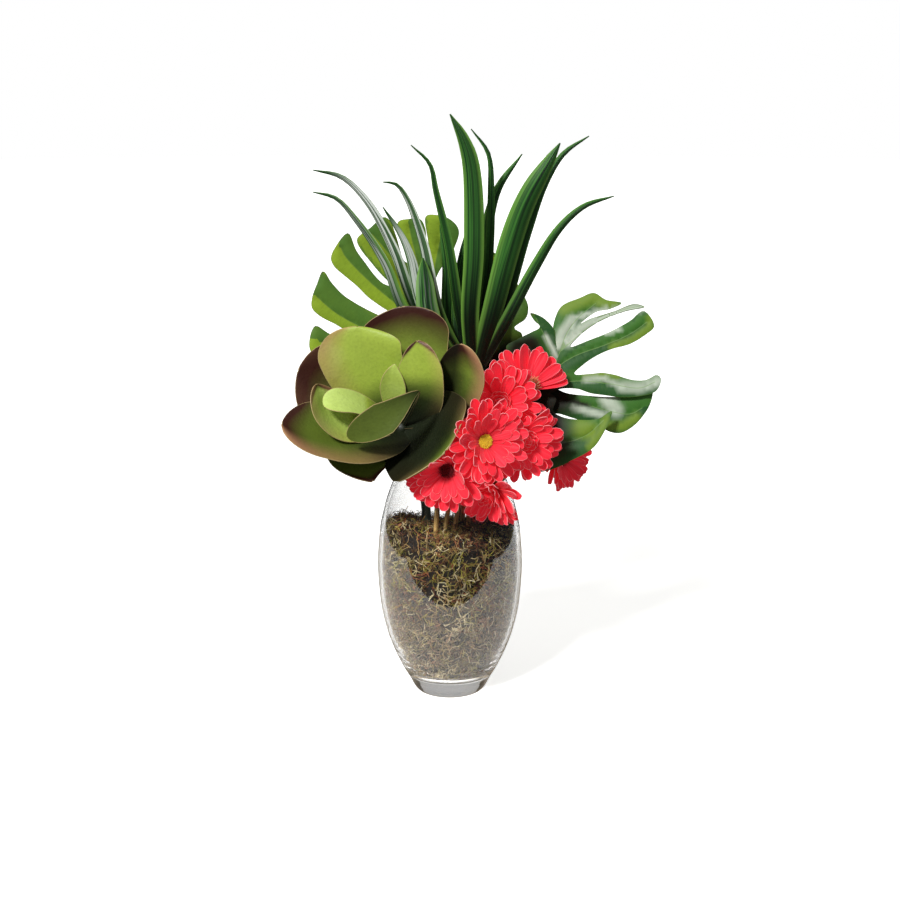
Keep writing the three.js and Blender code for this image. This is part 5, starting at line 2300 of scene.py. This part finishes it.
@dataclass
class Studio:
    """A pale table in white surroundings, a key light from the upper left, a card, and the camera.

    Lengths are in metres. The table is given by half of its width and by where its front and rear are.
    """

    floor_radius: float = 9.0
    floor_finish: Plain = Plain("floor", 0xF2F2F0, 0xF8F8F6, 0.7)
    table: Point = (0.62, -0.30, 0.68)
    table_finish: Plain = Plain("table", 0xB6A790, 0xBEAF98, 0.15)
    patch: float = 0.07
    patch_finish: Plain = Plain("patch", 0xE0E0E2, 0xE8E8EA, 0.6)
    flag_at: float = 0.9
    flag_reach: float = 1.2
    flag_height: float = 1.4
    flag_finish: Plain = Plain("flag", 0x2C2C2E, 0x303032, 0.14)
    room_at: float = 3.0
    room_down: float = 0.1
    below: float = 0.02
    ambient: float = 0.36
    mirrored: float = 0.03
    through: float = 0.8
    key_azimuth: float = -30.0
    key_elevation: float = 38.0
    key_distance: float = 3.0
    key_strength: float = 3.0
    key_softness: float = 9.0
    card_at: Point = (0.1, -0.5, 2.1)
    card_aim: Point = (0.0, 0.0, 0.3)
    card_size: Place = (1.6, 0.9)
    card_watts: float = 5.0
    sensor_width: float = 36.0

    def flat(self, name: str, corners: Sequence[Sequence[float]], finish: Finish, *hidden: str) -> None:
        """Adds a flat panel for the studio, which soft light doesn't see.

        Args:
            name: the panel's name.
            corners: its corners.
            finish: what it is dressed in.
            hidden: the other rays that it is hidden from, as Blender names them.
        """
        mesh = bpy.data.meshes.new(name)
        mesh.from_pydata(corners, [], [tuple(range(len(corners)))])
        mesh.materials.append(finish.material())
        panel = add_object(name, mesh)
        for ray in ("diffuse", *hidden):
            setattr(panel, "visible_" + ray, False)

    def build_floor(self) -> None:
        """Lays the pale floor, which is seen through the glass only where it isn't in front."""
        split = asin(-self.table[1] / self.floor_radius)
        parts = (
            ("floor", -split, pi + split, ("glossy",)),
            ("floor_front", pi + split, 2 * pi - split, ("glossy", "transmission")),
        )
        for name, start, end, hidden in parts:
            turns = np.linspace(start, end, 96)
            arc = [(self.floor_radius * cos(t), self.floor_radius * sin(t), 0.0) for t in turns]
            self.flat(name, arc, self.floor_finish, *hidden)

    def build_table(self) -> None:
        """Lays the table, which only shows in the glass's shine, and the patch seen through its foot."""
        half, front, rear = self.table
        corners = [(-half, front, 0.0), (half, front, 0.0), (half, rear, 0.0), (-half, rear, 0.0)]
        self.flat("table", corners, self.table_finish, "camera", "transmission", "shadow")
        turns = np.linspace(0, 2 * pi, 48, endpoint=False)
        ring = [(self.patch * cos(t), self.patch * sin(t), -MM) for t in turns]
        self.flat("foot_patch", ring, self.patch_finish, "camera", "glossy")

    def build_flags(self) -> None:
        """Stands dark panels at the sides, which draw the glass's outline, and in front as the dark room."""
        x, y, top = self.flag_at, self.flag_reach, self.flag_height
        far, near, low, dip, front = self.room_at, -self.room_at, self.room_down, self.below, self.table[1]
        panels = {
            "flag_left": [(-x, -y, 0.0), (-x, y, 0.0), (-x, y, top), (-x, -y, top)],
            "flag_right": [(x, -y, 0.0), (x, y, 0.0), (x, y, top), (x, -y, top)],
            "room_wall": [(-far, near, -low), (far, near, -low), (far, near, far), (-far, near, far)],
            "room_floor": [(-far, near, -dip), (far, near, -dip), (far, front, -dip), (-far, front, -dip)],
        }
        for name, corners in panels.items():
            self.flat(name, corners, self.flag_finish, "camera", "glossy", "shadow")

    def build_world(self) -> None:
        """Surrounds everything with white, which lights the object less than it shows."""
        world = bpy.data.worlds.new("studio")
        world.use_nodes = True
        world.node_tree.nodes.clear()
        graph = Graph(world.node_tree)
        rays = graph.node("ShaderNodeLightPath").outputs
        direct, mirrored = Term(graph, rays["Is Camera Ray"]), Term(graph, rays["Is Glossy Ray"])
        through = Term(graph, rays["Is Transmission Ray"])
        strength = direct * (1.0 - self.ambient) + mirrored * (self.mirrored - self.ambient) + self.ambient
        strength = strength + through * (self.through - self.ambient)
        shader = graph.node("ShaderNodeBackground", {"Color": (1.0, 1.0, 1.0, 1.0), "Strength": strength})
        graph.node("ShaderNodeOutputWorld", {"Surface": shader})
        bpy.context.scene.world = world
        bpy.context.scene.view_settings.view_transform = "Standard"

    def build_lights(self) -> None:
        """Adds the key light, from the upper left in front, and a card above that only shows in gloss."""
        key = bpy.data.lights.new("key", "SUN")
        key.energy = self.key_strength
        key.angle = radians(self.key_softness)
        way = facing(self.key_azimuth, self.key_elevation)
        add_pointed("key", key, way * self.key_distance, -way)
        card = bpy.data.lights.new("top_card", "AREA")
        card.shape = "RECTANGLE"
        card.size, card.size_y = self.card_size
        card.energy = self.card_watts
        place = Vector(self.card_at)
        lamp = add_pointed("top_card", card, place, Vector(self.card_aim) - place)
        lamp.visible_camera = False
        lamp.visible_diffuse = False

    def build_camera(self) -> None:
        """Sets up the camera that has the front view."""
        data = bpy.data.cameras.new("camera")
        data.lens = VIEW.lens
        data.sensor_width = self.sensor_width
        bpy.context.scene.camera = add_pointed("camera", data, VIEW.eye(), -VIEW.back())

    def build(self) -> None:
        """Builds the whole studio."""
        self.build_floor()
        self.build_table()
        self.build_flags()
        self.build_world()
        self.build_lights()
        self.build_camera()


# ---------------- the whole


def main() -> None:
    """Builds the arrangement and the studio."""
    logging.basicConfig(level=logging.INFO, format="%(message)s")
    vase = Vase()
    vase.build()
    Moss(vase).build()
    Rosette().build()
    SwordTuft().build()
    for leaf in monstera_leaves():
        leaf.build()
    Bouquet().build()
    Studio().build()


if __name__ == "__main__":
    main()
